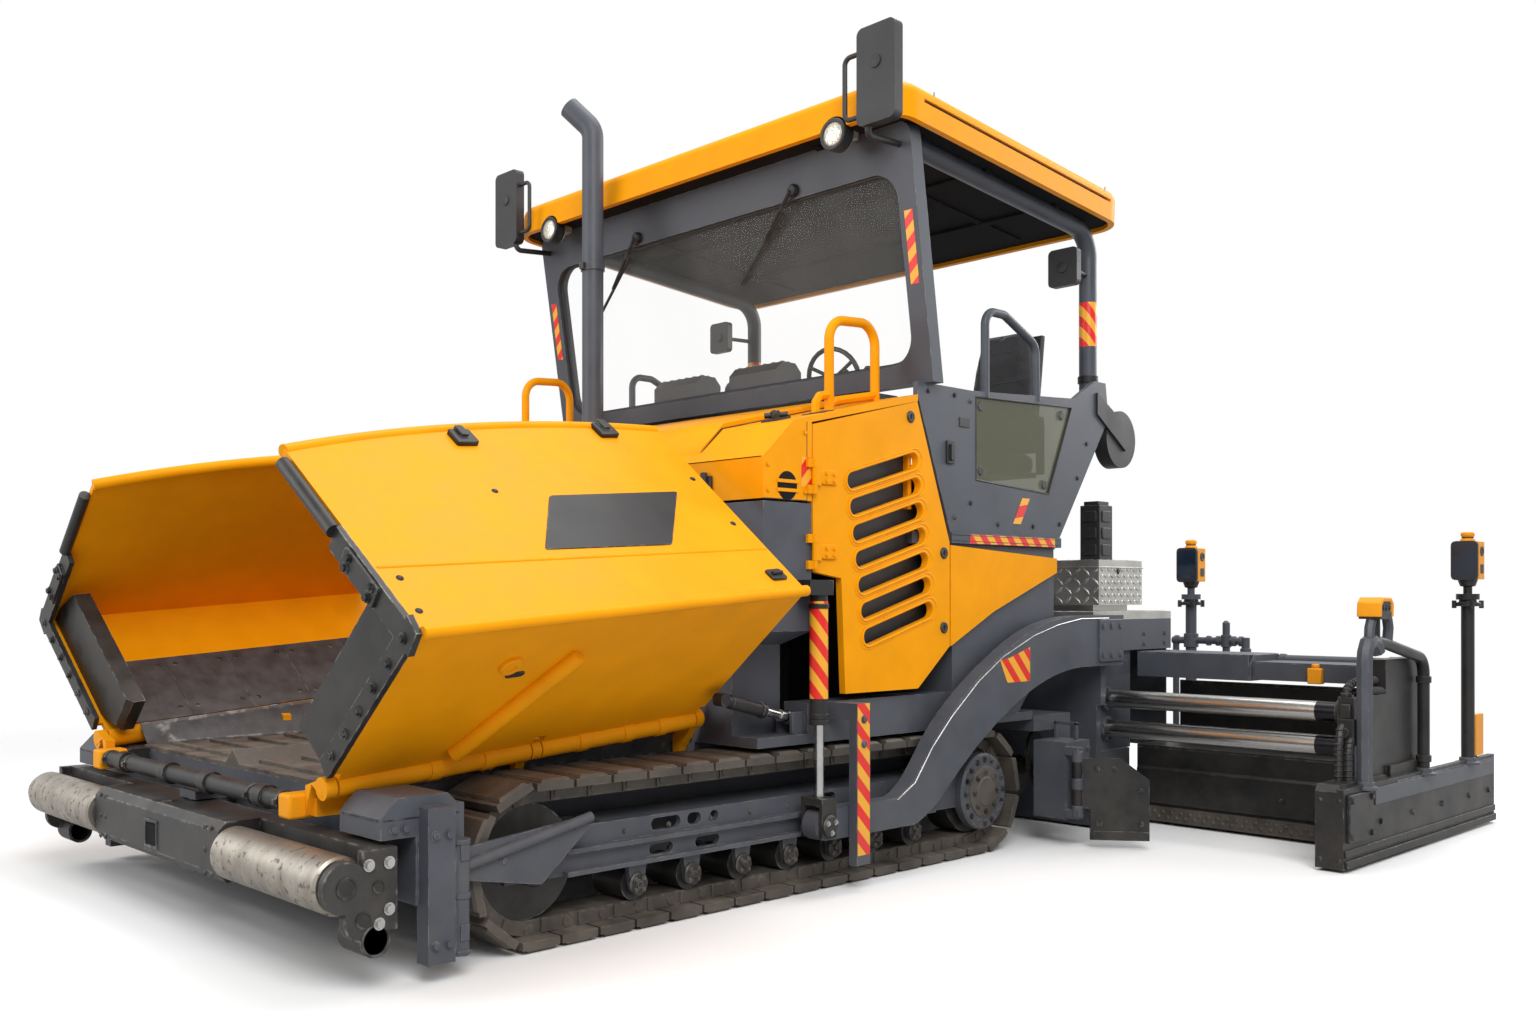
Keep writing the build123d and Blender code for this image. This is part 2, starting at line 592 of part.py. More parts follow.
def hood():
    """Sheet cover over the engine, open below and at the sides where the doors close it."""
    outer = [(HOOD_FRONT_X, HOOD_LOW_Z + SHEET), (HOOD_FRONT_X, HOOD_NOSE_Z), HOOD_BROW,
             (HOOD_REAR_X, HOOD_TOP_Z), (HOOD_REAR_X, HOOD_LOW_Z + SHEET)]
    cover = side_plate(outer, (-BODY_Y, BODY_Y))
    inner = [(HOOD_FRONT_X - SHEET, HOOD_LOW_Z), (HOOD_FRONT_X - SHEET, HOOD_NOSE_Z - 12),
             (HOOD_BROW[0] - 8, HOOD_BROW[1] - SHEET), (HOOD_REAR_X + SHEET, HOOD_TOP_Z - SHEET - 6),
             (HOOD_REAR_X + SHEET, HOOD_LOW_Z)]
    cover -= side_plate(inner, (-BODY_IN, BODY_IN))
    door_top = [(HOOD_REAR_X - 1, HOOD_LOW_Z), (DOOR_FRONT_X + FACE_GAP, HOOD_LOW_Z),
                (DOOR_FRONT_X + FACE_GAP, hood_line(DOOR_FRONT_X) - SHEET),
                (HOOD_REAR_X - 1, hood_line(HOOD_REAR_X) - SHEET - 6)]
    for side in (-1, 1):
        cover -= side_plate(door_top, (side * (BODY_IN - 12), side * (BODY_Y + 1)))
    return cover


DOOR_AXIS = (DOOR_FRONT_X + FACE_GAP / 2, BODY_Y + DOOR_HINGE_R + 1)


def door_knuckle(z, x_end, length):
    """Hinge barrel at a height with the strap that joins it to a panel."""
    x, y = DOOR_AXIS
    strap = block((x, x_end), (BODY_Y - 1, y), (z, z + length))
    return strap + bar((x, y, z), (x, y, z + length), DOOR_HINGE_R)


def door_pins():
    """Pins of one door's hinges, each held by a knuckle above and one below the door's own."""
    x, y = DOOR_AXIS
    pins = []
    for z in DOOR_HINGE_Z:
        pin = bar((x, y, z - 36), (x, y, z + DOOR_KNUCKLE + 36), DOOR_PIN_R)
        for low in (z - 36, z + DOOR_KNUCKLE + 1):
            pin += door_knuckle(low, x + 40, 35)
        pins.append(pin - block((x - 30, x + 60), (BODY_Y - 30, BODY_Y), (z - 100, z + 200)))
    return Part() + pins


def door():
    """Louvred engine door, hinged on its front edge."""
    top = SHEET + FACE_GAP + 2
    outline = [
        (DOOR_FRONT_X, 1300), (DOOR_FRONT_X, hood_line(DOOR_FRONT_X) - top),
        (HOOD_REAR_X + 5, hood_line(HOOD_REAR_X) - top), DOOR_REAR, (DOOR_REAR[0], 975),
        (190, DOOR_LOW_Z), (690, DOOR_LOW_Z), (715, 1275),
    ]
    leaf = side_plate(outline, (BODY_Y - DOOR_T, BODY_Y))
    face = Plane(origin=(0, BODY_Y, 0), x_dir=(1, 0, 0), z_dir=(0, -1, 0))
    for index in range(LOUVRE_COUNT):
        centre = (LOUVRE_FIRST[0] - index * LOUVRE_SHIFT, LOUVRE_FIRST[1] - index * LOUVRE_PITCH)
        slot = face * Pos(*centre) * Rot(0, 0, -LOUVRE_SLOPE) * SlotOverall(LOUVRE_LENGTH, LOUVRE_HEIGHT)
        leaf -= extrude(slot, amount=2 * DOOR_T, both=True)
    for z in DOOR_HINGE_Z:
        leaf += door_knuckle(z, DOOR_FRONT_X - 40, DOOR_KNUCKLE)
        leaf -= bar((*DOOR_AXIS, z - 1), (*DOOR_AXIS, z + DOOR_KNUCKLE + 1), DOOR_PIN_R + RUN_GAP)
    return leaf


def fender():
    """Yellow panel behind the door with its rising lower edge."""
    front = DOOR_REAR[0] - FACE_GAP - 4
    outline = [(front, 975), (front, 1432), (-950, 1388), (-950, 1318), (-400, 1130)]
    return side_plate(outline, (BODY_Y - SHEET, BODY_Y))


def tanks():
    """Closed housing under the platform, behind the engine."""
    outline = [(-100, DECK_Z), (-100, FLOOR_Z - 55), (FLOOR_REAR_X + 30, FLOOR_Z - 55),
               (FLOOR_REAR_X + 30, 960), (-640, DECK_Z)]
    return side_plate(outline, (-BODY_IN, BODY_IN))


def engine():
    """Engine and cooler as one plain block."""
    return block((HOOD_REAR_X + 60, 850), (-560, 560), (DECK_Z, 1520))


def exhaust():
    """Upright exhaust pipe with a clamp and a slanted, angled outlet."""
    x, y = 560, -520
    low = hood_line(x)
    path = FilletPolyline((x, y, low), (x, y, EXHAUST_TOP), (x + 70, y - 110, EXHAUST_TOP + 130), radius=110)
    foot = Plane(origin=path @ 0, z_dir=path % 0)
    stack = sweep(foot * Circle(EXHAUST_R), path=path)
    stack += bar((x, y, 2900), (x, y, 2935), EXHAUST_R + 7)
    stack += bar((x, y, low - 4), (x, y, low + 14), EXHAUST_R + 26)
    tip = path @ 1
    return stack - bar(tip, tip - (path % 1) * 90, EXHAUST_R - 5)


def lifting_loop():
    """Yellow grab loop on the hood."""
    y = 1080
    front, back = 575, 260
    top = 2395
    points = [(front, y, hood_line(front) - 3), (front, y, top), (back, y, top + 20),
              (back, y, hood_line(back) - 3)]
    return pipe(points, 21, 95)


save("hood", hood() - exhaust() - lifting_loop() - mirrored(lifting_loop()))
save_pair("engine_door", door())
save("door_hinges", door_pins(), mirrored(door_pins()))
save("rear_fenders", fender(), mirrored(fender()))
save("tank_housing", tanks())
save("engine_block", engine())
save("exhaust_stack", exhaust())
save("lifting_loops", lifting_loop(), mirrored(lifting_loop()))


# Operator's platform
def platform_floor():
    """Floor with edge beams and the seats' pedestals."""
    half = BODY_Y - DOOR_T - FACE_GAP
    floor = block((FLOOR_REAR_X, HOOD_REAR_X - FACE_GAP), (-half, half), (FLOOR_Z - 55, FLOOR_Z))
    for side in (-1, 1):
        edge = (side * (half - 1), side * BODY_Y)
        floor += block((FLOOR_REAR_X, DOOR_REAR[0] - 20), edge, (FLOOR_Z - 48, FLOOR_Z))
        floor += block((-900, -600), (side * 780, side * 1080), (FLOOR_Z - 1, 1560))
        floor += block((-800, -700), (side * 880, side * 980), (1559, 1800))
    return floor


def platform_side():
    """Side wall with its window and grab rail, and the gusset that carries the rear roof post."""
    outline = [
        (DOOR_REAR[0] - 20, FLOOR_Z), (HOOD_REAR_X - 12, HOOD_TOP_Z), (HOOD_REAR_X - 12, SIDE_TOP_Z),
        (-250, SIDE_TOP_Z), (-1130, SIDE_TOP_Z + 50),
        (-1330, SIDE_TOP_Z + 160), (-1440, SIDE_TOP_Z + 160), (-1470, SIDE_TOP_Z - 20), (FLOOR_REAR_X, FLOOR_Z),
    ]
    window = [(-265, SIDE_TOP_Z - 20), (-1110, SIDE_TOP_Z + 5), (-890, 1700), (-265, 1735)]
    wall = side_plate(outline, (BODY_IN - 10, BODY_Y - 10)) - side_plate(window, (BODY_IN - 20, BODY_Y))
    y = BODY_IN + SHEET / 2 - 10
    rail_z = SIDE_TOP_Z + 390
    rail = [(-360, y, SIDE_TOP_Z - 12), (-360, y, rail_z), (-520, y, rail_z), (-790, y, rail_z - 110),
            (-800, y, SIDE_TOP_Z + 6)]
    return wall + pipe(rail, RAIL_R, 70)


def platform_glass():
    """Tinted pane in the side wall's window."""
    edge = [(-265.5, SIDE_TOP_Z - 20.5), (-1109.5, SIDE_TOP_Z + 4.5), (-890, 1700.5), (-265.5, 1735.5)]
    return side_plate(edge, (BODY_IN - 4, BODY_IN - 4 + GLASS_T))


def seat():
    """Seat cushion and backrest."""
    cushion = block((-1010, -520), (690, 1170), (1800, 1920))
    back = side_plate([(-1005, 1920), (-890, 1920), (-985, 2600), (-1085, 2600)], (710, 1150))
    return cushion + back


def console():
    """Driver's desk with two control pods on stalks."""
    desk = block((-330, -60), (-760, 760), (2120, 2190))
    for y in (-600, 600):
        desk += block((-260, -120), (y - 60, y + 60), (FLOOR_Z, 2121))
    for y in (0, -590):
        pod = block((-290, -100), (y - 170, y + 170), (2300, 2420))
        desk += chamfer(pod.edges().filter_by(Axis.Y).group_by(Axis.Z)[-1], 45)
        desk += bar((-195, y, 2185), (-195, y, 2305), 40)
    return desk


def hose_reel():
    """Round hose reel on a bracket at the outer face of the platform's gusset."""
    x, z = -1600, SIDE_TOP_Z - 120
    face = BODY_Y - 10
    reel = bar((x, face - 75, z), (x, face, z), 150)
    reel -= bar((x, face - 80, z), (x, face - 30, z), 105)
    reel += bar((x, face - 78, z), (x, face, z), 40)
    arm = [(-1340, SIDE_TOP_Z + 100), (-1340, SIDE_TOP_Z - 10), (x - 30, z - 60), (x - 60, z + 60)]
    return reel + side_plate(arm, (face, face + 12))


save("platform_floor", platform_floor())
save("platform_sides", platform_side(), mirrored(platform_side()))
save("platform_glass", platform_glass(), mirrored(platform_glass()))
save_pair("seat", seat())
save("operator_console", console())
save("hose_reels", hose_reel(), mirrored(hose_reel()))


# Roof
ROOF_PLACE = Pos(ROOF_FRONT[0], 0, ROOF_FRONT[1]) * Rot(0, -ROOF_SLOPE, 0) * Pos(-ROOF_LENGTH / 2, 0, 0)
LAMP_PLACE = (ROOF_FRONT[0] - 62, 1010, ROOF_FRONT[1] - 105)
SCREEN_FOOT = (85, SIDE_TOP_Z)
SCREEN_PLACE = Pos(SCREEN_FOOT[0], 0, SCREEN_FOOT[1]) * Rot(0, SCREEN_LEAN, 0)
LINING_T = 40
POST_Y = BODY_IN - 10 - POST_R


def roof_block(inset, low, high):
    """Rounded slab in the roof's own frame."""
    plan = RectangleRounded(ROOF_LENGTH - 2 * inset, 2 * (ROOF_HALF - inset), 150 - inset)
    return Pos(0, 0, low) * extrude(plan, amount=high - low)


def roof_shell():
    """Yellow roof cover with a rounded top edge, side grooves and lamp notches, hollow below."""
    cover = roof_block(0, -ROOF_HEIGHT / 2, ROOF_HEIGHT / 2)
    cover = fillet(cover.edges().group_by(Axis.Z)[-1], 55)
    cover -= roof_block(ROOF_WALL, -ROOF_HEIGHT / 2 - 1, ROOF_HEIGHT / 2 - ROOF_WALL)
    groove_z = ROOF_HEIGHT / 2 - 76
    groove_x = (-0.42 * ROOF_LENGTH, 0.40 * ROOF_LENGTH)
    for side in (-1, 1):
        cover -= block(groove_x, (side * (ROOF_HALF - 12), side * (ROOF_HALF + 1)), (groove_z, groove_z + 16))
    cover = ROOF_PLACE * cover
    x, y, z = LAMP_PLACE
    for side in (-1, 1):
        cover -= bar((x - 40, side * y, z), (x + 200, side * y, z), LAMP_R + 16)
    return cover


def roof_lining():
    """Dark headlining inside the roof cover."""
    low = -ROOF_HEIGHT / 2 + 20
    return ROOF_PLACE * roof_block(ROOF_WALL, low, low + LINING_T)


def screen_frame():
    """Windscreen frame with a rounded opening, standing on the platform's side walls."""
    face = Plane.YZ * Pos(0, SCREEN_HEIGHT / 2) * RectangleRounded(2 * SCREEN_HALF, SCREEN_HEIGHT + 200, 60)
    hole = Plane.YZ * Pos(0, SCREEN_HEIGHT / 2) * RectangleRounded(
        2 * (SCREEN_HALF - SCREEN_BAR), SCREEN_HEIGHT - 2 * SCREEN_BAR, 130)
    frame = extrude(face - hole, amount=SCREEN_T / 2, both=True)
    frame = SCREEN_PLACE * frame
    frame -= block((-2000, 2000), (-2000, 2000), (SIDE_TOP_Z - 900, SIDE_TOP_Z))
    return frame - ROOF_PLACE * roof_block(-200, -ROOF_HEIGHT / 2 + 20, 400)


def windscreen():
    """Clear pane in the windscreen frame."""
    pane = Plane.YZ * Pos(0, SCREEN_HEIGHT / 2) * RectangleRounded(
        2 * (SCREEN_HALF - SCREEN_BAR) - 1, SCREEN_HEIGHT - 2 * SCREEN_BAR - 1, 129.5)
    return SCREEN_PLACE * extrude(pane, amount=GLASS_T / 2, both=True)


def rear_post():
    """Bent tube from the platform's gusset up to the roof and forward under it."""
    high = 3098
    front = 150
    rise = (front - POST_X) * math.tan(math.radians(ROOF_SLOPE))
    points = [(POST_X, POST_Y, SIDE_TOP_Z - 10), (POST_X, POST_Y, high), (front, POST_Y, high + rise)]
    return pipe(points, POST_R, 150) - ROOF_PLACE * roof_block(-200, -ROOF_HEIGHT / 2 + 20, 400)


def roof_lamp():
    """Round work lamp in the roof's front corner."""
    x, y, z = LAMP_PLACE
    lamp = bar((x, y, z), (x + 70, y, z), LAMP_R) + block((x - 70, x + 30), (y - 30, y + 30), (z, z + 120))
    return lamp - ROOF_PLACE * roof_block(-200, -ROOF_HEIGHT / 2 + 20, 400)


def mirror_arm():
    """Tube arm, grab loop and mirror at the roof's front corner."""
    x, y, z = ROOF_FRONT[0] - 127, 1290, ROOF_FRONT[1] - 162
    front = x + 187
    arm = pipe([(x - 80, y - 60, z), (front, y - 50, z - 20), (front, y - 40, z + 40)], 14, 30)
    arm = arm - screen_frame()
    inner, low, high = y - 170, z + 70, z + 340
    loop = pipe([(front, y - 80, low), (front, inner, low), (front, inner, high), (front, y - 80, high)], 11, 30)
    glass = block((front - 27, front + 28), (y - 85, y + 115), (z + 15, z + 430))
    return arm + loop + fillet(glass.edges().filter_by(Axis.X), 30)


def rear_mirror():
    """Small mirror on an arm of the rear roof post."""
    z = 2870
    arm = bar((POST_X, POST_Y, z), (POST_X + 275, POST_Y + 45, z), 12) - rear_post()
    glass = block((POST_X + 260, POST_X + 300), (POST_Y - 50, POST_Y + 110), (z - 100, z + 90))
    return arm + fillet(glass.edges().filter_by(Axis.X), 25)


save("roof_cover", roof_shell())
save("roof_lining", roof_lining())
save("windscreen_frame", screen_frame())
save("windscreen", windscreen())
save("rear_roof_posts", rear_post(), mirrored(rear_post()))
save("roof_lamps", roof_lamp(), mirrored(roof_lamp()))
save("mirrors", mirror_arm(), mirrored(mirror_arm()), rear_mirror(), mirrored(rear_mirror()))


# Levelling cylinders and guide posts
ARM_OUT_Y = ARM_IN_Y + ARM_T
ARM_MID_Y = (ARM_IN_Y + ARM_OUT_Y) / 2


def levelling_cylinder():
    """Upright cylinder that carries the tow arm's front pin in a clevis."""
    x, z = TOW_POINT
    top = 1235
    cylinder = bar((x, ARM_MID_Y, 700), (x, ARM_MID_Y, top - 20), 36)
    cylinder += bar((x, ARM_MID_Y, z + 90), (x, ARM_MID_Y, 705), 19)
    cylinder += block((x - 42, BULKHEAD_X[0] + 110), (BODY_Y, ARM_MID_Y + 42), (top - 30, top + 30))
    cylinder += block((x - 45, x + 45), (ARM_IN_Y - 20, ARM_OUT_Y + 20), (z + 80, z + 110))
    for y in ((ARM_IN_Y - 20, ARM_IN_Y - FACE_GAP), (ARM_OUT_Y + FACE_GAP, ARM_OUT_Y + 20)):
        cylinder += block((x - 45, x + 45), y, (z - 50, z + 81))
    return cylinder + bar((x, ARM_IN_Y - 20, z), (x, ARM_OUT_Y + 20, z), TOW_PIN_ARM_R)


def guide_post():
    """Post outside the tow arm that keeps it from swaying."""
    x = (690, 775)
    post = block(x, (ARM_OUT_Y + FACE_GAP, ARM_OUT_Y + 46), (110, DECK_Z + SILL_HEIGHT))
    return post + block(x, (BODY_Y - 32, ARM_OUT_Y + 10), (DECK_Z + 55, DECK_Z + SILL_HEIGHT))


save("levelling_cylinders", levelling_cylinder(), mirrored(levelling_cylinder()))
save("guide_posts", guide_post(), mirrored(guide_post()))


# Augers and their tunnel
def auger():
    """Shaft with a left-hand or right-hand screw flight."""
    y0, y1 = AUGER_Y
    shaft = bar((AUGER_X, y0, AUGER_Z), (AUGER_X, y1, AUGER_Z), AUGER_SHAFT_R)
    depth = AUGER_R - AUGER_SHAFT_R + 12
    blade = Plane.XZ * Pos(AUGER_R - depth / 2, 0) * Rectangle(depth, 18)
    rise = y1 - y0 - 60
    steps = round(FLIGHT_STEPS * rise / AUGER_PITCH)
    sections = [Pos(0, 0, rise * index / steps) * Rot(0, 0, 360 / FLIGHT_STEPS * index) * blade
                for index in range(steps + 1)]
    flight = loft(sections, ruled=True)
    place = Plane(origin=(AUGER_X, y0 + 30, AUGER_Z), x_dir=(1, 0, 0), z_dir=(0, 1, 0))
    journal = bar((AUGER_X, y0 - 40, AUGER_Z), (AUGER_X, y1 + 42, AUGER_Z), JOURNAL_R)
    return shaft + place * flight + journal


def tunnel_box():
    """Grey box outside the auger's end, with the hinge pin of the tunnel plate."""
    x, y = TUNNEL_HINGE
    box = block((x + 20, AUGER_X + 60), (BODY_IN - 1, y - 45), (130, 500))
    for z in ((140, 180), (440, 480)):
        box += block((x - 25, x + 25), (y - 50, y + 18), z)
    return box + bar((x, y, 140), (x, y, 480), 14)


def auger_frame():
    """Cross beam with the centre drive case and end hangers that carry the augers."""
    beam_z = (AUGER_Z + AUGER_R + 25, AUGER_Z + AUGER_R + 100)
    x = (AUGER_X - 60, CHASSIS_REAR_X)
    frame = block(x, (-BODY_IN, BODY_IN), beam_z)
    case_half = AUGER_Y[0] - FACE_GAP
    frame += block((AUGER_X - 95, AUGER_X + 95), (-case_half, case_half), (180, beam_z[1]))
    for side in (-1, 1):
        y = (side * (AUGER_Y[1] + FACE_GAP), side * BODY_IN)
        frame += block((AUGER_X - 60, AUGER_X + 60), y, (AUGER_Z - 70, beam_z[1]))
    frame -= bar((AUGER_X, -2000, AUGER_Z), (AUGER_X, 2000, AUGER_Z), JOURNAL_R + RUN_GAP)
    return frame + tunnel_box() + mirrored(tunnel_box())


def tunnel_plate():
    """Hinged plate that holds the material in front of the screed."""
    outline = [(0, 190), (0, 430), (200, 430), (TUNNEL_PLATE_LENGTH, 330), (TUNNEL_PLATE_LENGTH, 40), (60, 40),
               (60, 190)]
    plate = side_plate(outline, (-8, 8))
    plate += bar((0, 0, 190), (0, 0, 430), 24)
    plate -= bar((0, 0, 100), (0, 0, 500), 14 + RUN_GAP)
    return Pos(*TUNNEL_HINGE, 0) * Rot(0, 0, TUNNEL_PLATE_TURN) * plate


save_pair("auger", auger())
save("auger_frame", auger_frame())
save_pair("tunnel_plate", tunnel_plate())


# Tow arms and screed
SCREED_REAR_X = SCREED_FRONT_X - SCREED_BOX[0]
WALL_T = 45
EXT_FRONT_X = SCREED_REAR_X - 60
WALK_REAR_X = -2150
WALK_LOW_Z = WALK_Z - 40
COLLAR_R = TUBE_R + 14
COLLAR_T = 26
FOOTBOARD_X = (-2780, -2215)
FOOTBOARD_Z = (360, 400)
EXT_BEAM_Z = (785, 905)
END_PLATE_REAR_X = -LENGTH / 2


def tow_arm():
    """S-curved arm from the front pin up and back to the screed."""
    x, z = TOW_POINT
    nose = 62
    rear = SCREED_FRONT_X - 100
    top = Spline((450, z + nose), (200, 560), (-345, 935), (-1030, 1105),
                 tangents=((-1, 0.35), (-1, 0.02)))
    low = Spline((-1030, 850), (-430, 690), (50, 390), (330, z - nose), tangents=((1, -0.05), (1, -0.3)))
    edges = Line((x, z + nose), (450, z + nose)) + top + Line((-1030, 1105), (rear, 1105))
    edges += Line((rear, 1105), (rear, 850)) + Line((rear, 850), (-1030, 850)) + low
    edges += Line((330, z - nose), (x, z - nose))
    edges += ThreePointArc((x, z - nose), (x + nose, z), (x, z + nose))
    view = Plane(origin=(0, ARM_IN_Y, 0), x_dir=(1, 0, 0), z_dir=(0, -1, 0))
    arm = extrude(view * make_face(edges), amount=-ARM_T)
    return arm - bar((x, ARM_IN_Y - 1, z), (x, ARM_OUT_Y + 1, z), TOW_PIN_ARM_R + RUN_GAP)


def display_post(x, y, base):
    """Tube with a flange, a thin neck and the display's case."""
    low = DISPLAY_Z[0]
    post = bar((x, y, base), (x, y, low - 75), 30) + bar((x, y, low - 105), (x, y, low - 75), 52)
    post += bar((x, y, low - 76), (x, y, low + 1), 20)
    return post + block((x - 50, x + 50), (y - 55, y + 55), DISPLAY_Z)


def tube_x(side):
    """Place of a side's slide tubes along X."""
    return TUBE_X + side * TUBE_SHIFT


def screed_main():
    """Main screed: plate box, front wall, centre rib, tube guides and the rear footboard."""
    box_top = SCREED_LOW_Z + SCREED_BOX[1]
    box = block((SCREED_REAR_X, SCREED_FRONT_X), (-SCREED_HALF, SCREED_HALF), (SCREED_LOW_Z, box_top))
    wall_x = (SCREED_FRONT_X - WALL_T, SCREED_FRONT_X)
    box += block(wall_x, (-SCREED_HALF, SCREED_HALF), (SCREED_LOW_Z, WALK_LOW_Z))
    rib_half = 26
    box += block((FOOTBOARD_X[1] - 60, SCREED_FRONT_X - WALL_T), (-rib_half, rib_half), (box_top + 60, WALK_LOW_Z))
    box += block((FOOTBOARD_X[1] - 60, FOOTBOARD_X[1]), (-rib_half, rib_half), (FOOTBOARD_Z[0], WALK_LOW_Z))
    board_half = SCREED_HALF - 50
    box += block(FOOTBOARD_X, (-board_half, board_half), FOOTBOARD_Z)
    for side in (-1, 1):
        box += block(wall_x, (side * (SCREED_HALF - 1), side * ARM_IN_Y), (640, WALK_LOW_Z))
        skirt = (side * (SCREED_HALF - SHEET), side * SCREED_HALF)
        box += block((WALK_REAR_X, SCREED_FRONT_X - WALL_T), skirt, (EXT_BEAM_Z[1] + 10, WALK_LOW_Z))
        guide_y = (side * (SCREED_HALF - 230), side * (SCREED_HALF - 20))
        box += block((EXT_FRONT_X + 15, SCREED_FRONT_X - WALL_T + 1), guide_y, (box_top - 1, WALK_LOW_Z))
        x = tube_x(side)
        for z in TUBE_Z:
            box += bar((x, guide_y[1] - side, z), (x, guide_y[1] + side * COLLAR_T, z), COLLAR_R)
            box -= bar((x, guide_y[0] - side, z), (x, guide_y[1] + side * (COLLAR_T + 1), z), TUBE_R + 0.4)
            box -= bar((x, -rib_half - 1, z), (x, rib_half + 1, z), TUBE_R + FACE_GAP)
        box += display_post(FOOTBOARD_X[1] - 405, side * (board_half - 60), FOOTBOARD_Z[1] - 1)
    return box


def screed_walkway():
    """Diamond-plate walkway with a tool box on its foot and a grip post at each side."""
    deck = block((WALK_REAR_X, SCREED_FRONT_X + 30), (-SCREED_HALF, SCREED_HALF), (WALK_LOW_Z, WALK_Z))
    case_x, case_y = (-1960, -1500), (760, 1180)
    for side in (-1, 1):
        foot_y = (side * (case_y[0] + 50), side * (case_y[1] - 60))
        deck += block((case_x[0] + 50, case_x[1] - 50), foot_y, (WALK_Z - 1, WALK_Z + 36))
        deck += block(case_x, [side * y for y in case_y], (WALK_Z + 35, WALK_Z + 275))
        deck += block((-1705, -1585), (side * 1035, side * 1135), (WALK_Z + 274, WALK_Z + 560))
    return deck


def screed_rear_cover():
    """Sheet behind the slide tubes of one side, under the walkway's rear edge."""
    return block((WALK_REAR_X, WALK_REAR_X + 8), (26, SCREED_HALF - SHEET), (432, WALK_LOW_Z))


def extension_rails():
    """Loop rail, control head and display post on the extension's end plate."""
    y = EXT_OUTER_Y + END_PLATE_T / 2 + 6
    base = SCREED_LOW_Z + END_PLATE_HEIGHT
    front, back, high = -1380, -2120, 1010
    rails = pipe([(front, y, base), (front, y, high), (front - 240, y, high - 25), (back, y, high - 110),
                  (back, y, base)], 26, 90)
    head_x = front - 120
    rails += bar((head_x, y, high - 20), (head_x, y, high + 100), 22)
    rails += block((head_x - 60, head_x + 50), (y - 45, y + 45), (high + 99, high + 165))
    return rails + display_post(END_PLATE_REAR_X + 390, y, base)


def extension(side):
    """Extending screed: plate box, end plate with its front shoe, and the uprights."""
    low = SCREED_LOW_Z
    rear = EXT_FRONT_X - EXT_DEPTH
    body = block((rear, EXT_FRONT_X), (EXT_INNER_Y, EXT_OUTER_Y), (low, low + 400))
    body += block((END_PLATE_REAR_X, END_PLATE_FRONT_X), (EXT_OUTER_Y - 1, EXT_OUTER_Y + END_PLATE_T),
                  (low, low + END_PLATE_HEIGHT))
    shoe_z = (low, low + END_PLATE_HEIGHT + 15)
    shoe = block((-1720, END_PLATE_FRONT_X), (EXT_OUTER_Y - 90, EXT_OUTER_Y + 1), shoe_z)
    body += chamfer(shoe.edges().filter_by(Axis.Y).group_by(Axis.Z)[-1], 30)
    post = (EXT_OUTER_Y - 90, EXT_OUTER_Y - 20)
    body += block((rear, EXT_FRONT_X), post, (low + 399, EXT_BEAM_Z[1]))
    body += block((EXT_FRONT_X - 1, tube_x(1) + TUBE_R + 40), post, (low + 200, TUBE_Z[1] + TUBE_R + 30))
    beam_step = EXT_INNER_Y + 0.48 * (EXT_OUTER_Y - EXT_INNER_Y)
    body += block((EXT_FRONT_X - 330, EXT_FRONT_X), (EXT_INNER_Y, beam_step), EXT_BEAM_Z)
    body += block((EXT_FRONT_X - 300, EXT_FRONT_X - 30), (beam_step - 1, post[0] + 1),
                  (EXT_BEAM_Z[0] + 15, EXT_BEAM_Z[1] - 35))
    body += extension_rails()
    if side < 0:
        body = mirrored(body)
    for z in TUBE_Z:
        x = tube_x(side)
        body += bar((x, side * (post[0] - COLLAR_T), z), (x, side * (post[0] + 1), z), COLLAR_R)
        body -= bar((x, side * 2000, z), (x, side * (EXT_OUTER_Y - 40), z), TUBE_R)
    return body


def extension_tubes(side):
    """The two slide tubes of one extension."""
    tubes = []
    for z in TUBE_Z:
        inner, outer = side * (SCREED_HALF - 330), side * (EXT_OUTER_Y - 40)
        tubes.append(bar((tube_x(side), inner, z), (tube_x(side), outer, z), TUBE_R))
    return Part() + tubes


save("tow_arms", tow_arm(), mirrored(tow_arm()))
save("screed_main", screed_main())
save("screed_walkway", screed_walkway())
save("screed_rear_cover", screed_rear_cover(), mirrored(screed_rear_cover()))
for side, name in ((1, "left"), (-1, "right")):
    save(f"extension_{name}", extension(side))
    save(f"extension_tubes_{name}", extension_tubes(side))
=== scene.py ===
import json
import math

import bmesh
import bpy
from mathutils import Matrix, Vector
from mathutils.bvhtree import BVHTree


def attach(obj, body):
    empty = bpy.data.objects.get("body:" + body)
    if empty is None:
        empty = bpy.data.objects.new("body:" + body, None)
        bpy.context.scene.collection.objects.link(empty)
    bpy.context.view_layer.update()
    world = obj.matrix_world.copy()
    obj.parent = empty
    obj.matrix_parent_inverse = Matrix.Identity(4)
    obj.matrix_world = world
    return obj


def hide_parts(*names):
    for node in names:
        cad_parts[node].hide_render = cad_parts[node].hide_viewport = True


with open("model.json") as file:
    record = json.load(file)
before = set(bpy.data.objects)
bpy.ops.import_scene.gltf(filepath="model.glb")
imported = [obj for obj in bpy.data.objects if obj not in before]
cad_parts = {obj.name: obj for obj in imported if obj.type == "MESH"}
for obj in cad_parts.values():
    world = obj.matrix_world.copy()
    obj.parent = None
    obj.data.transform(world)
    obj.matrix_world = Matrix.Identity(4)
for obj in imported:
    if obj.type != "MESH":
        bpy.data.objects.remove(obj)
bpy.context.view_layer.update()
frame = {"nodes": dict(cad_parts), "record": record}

scene = bpy.context.scene
scene.view_settings.view_transform = "Standard"

# Frame: metres, X forward, Y to the machine's left, Z up, ground at Z = 0

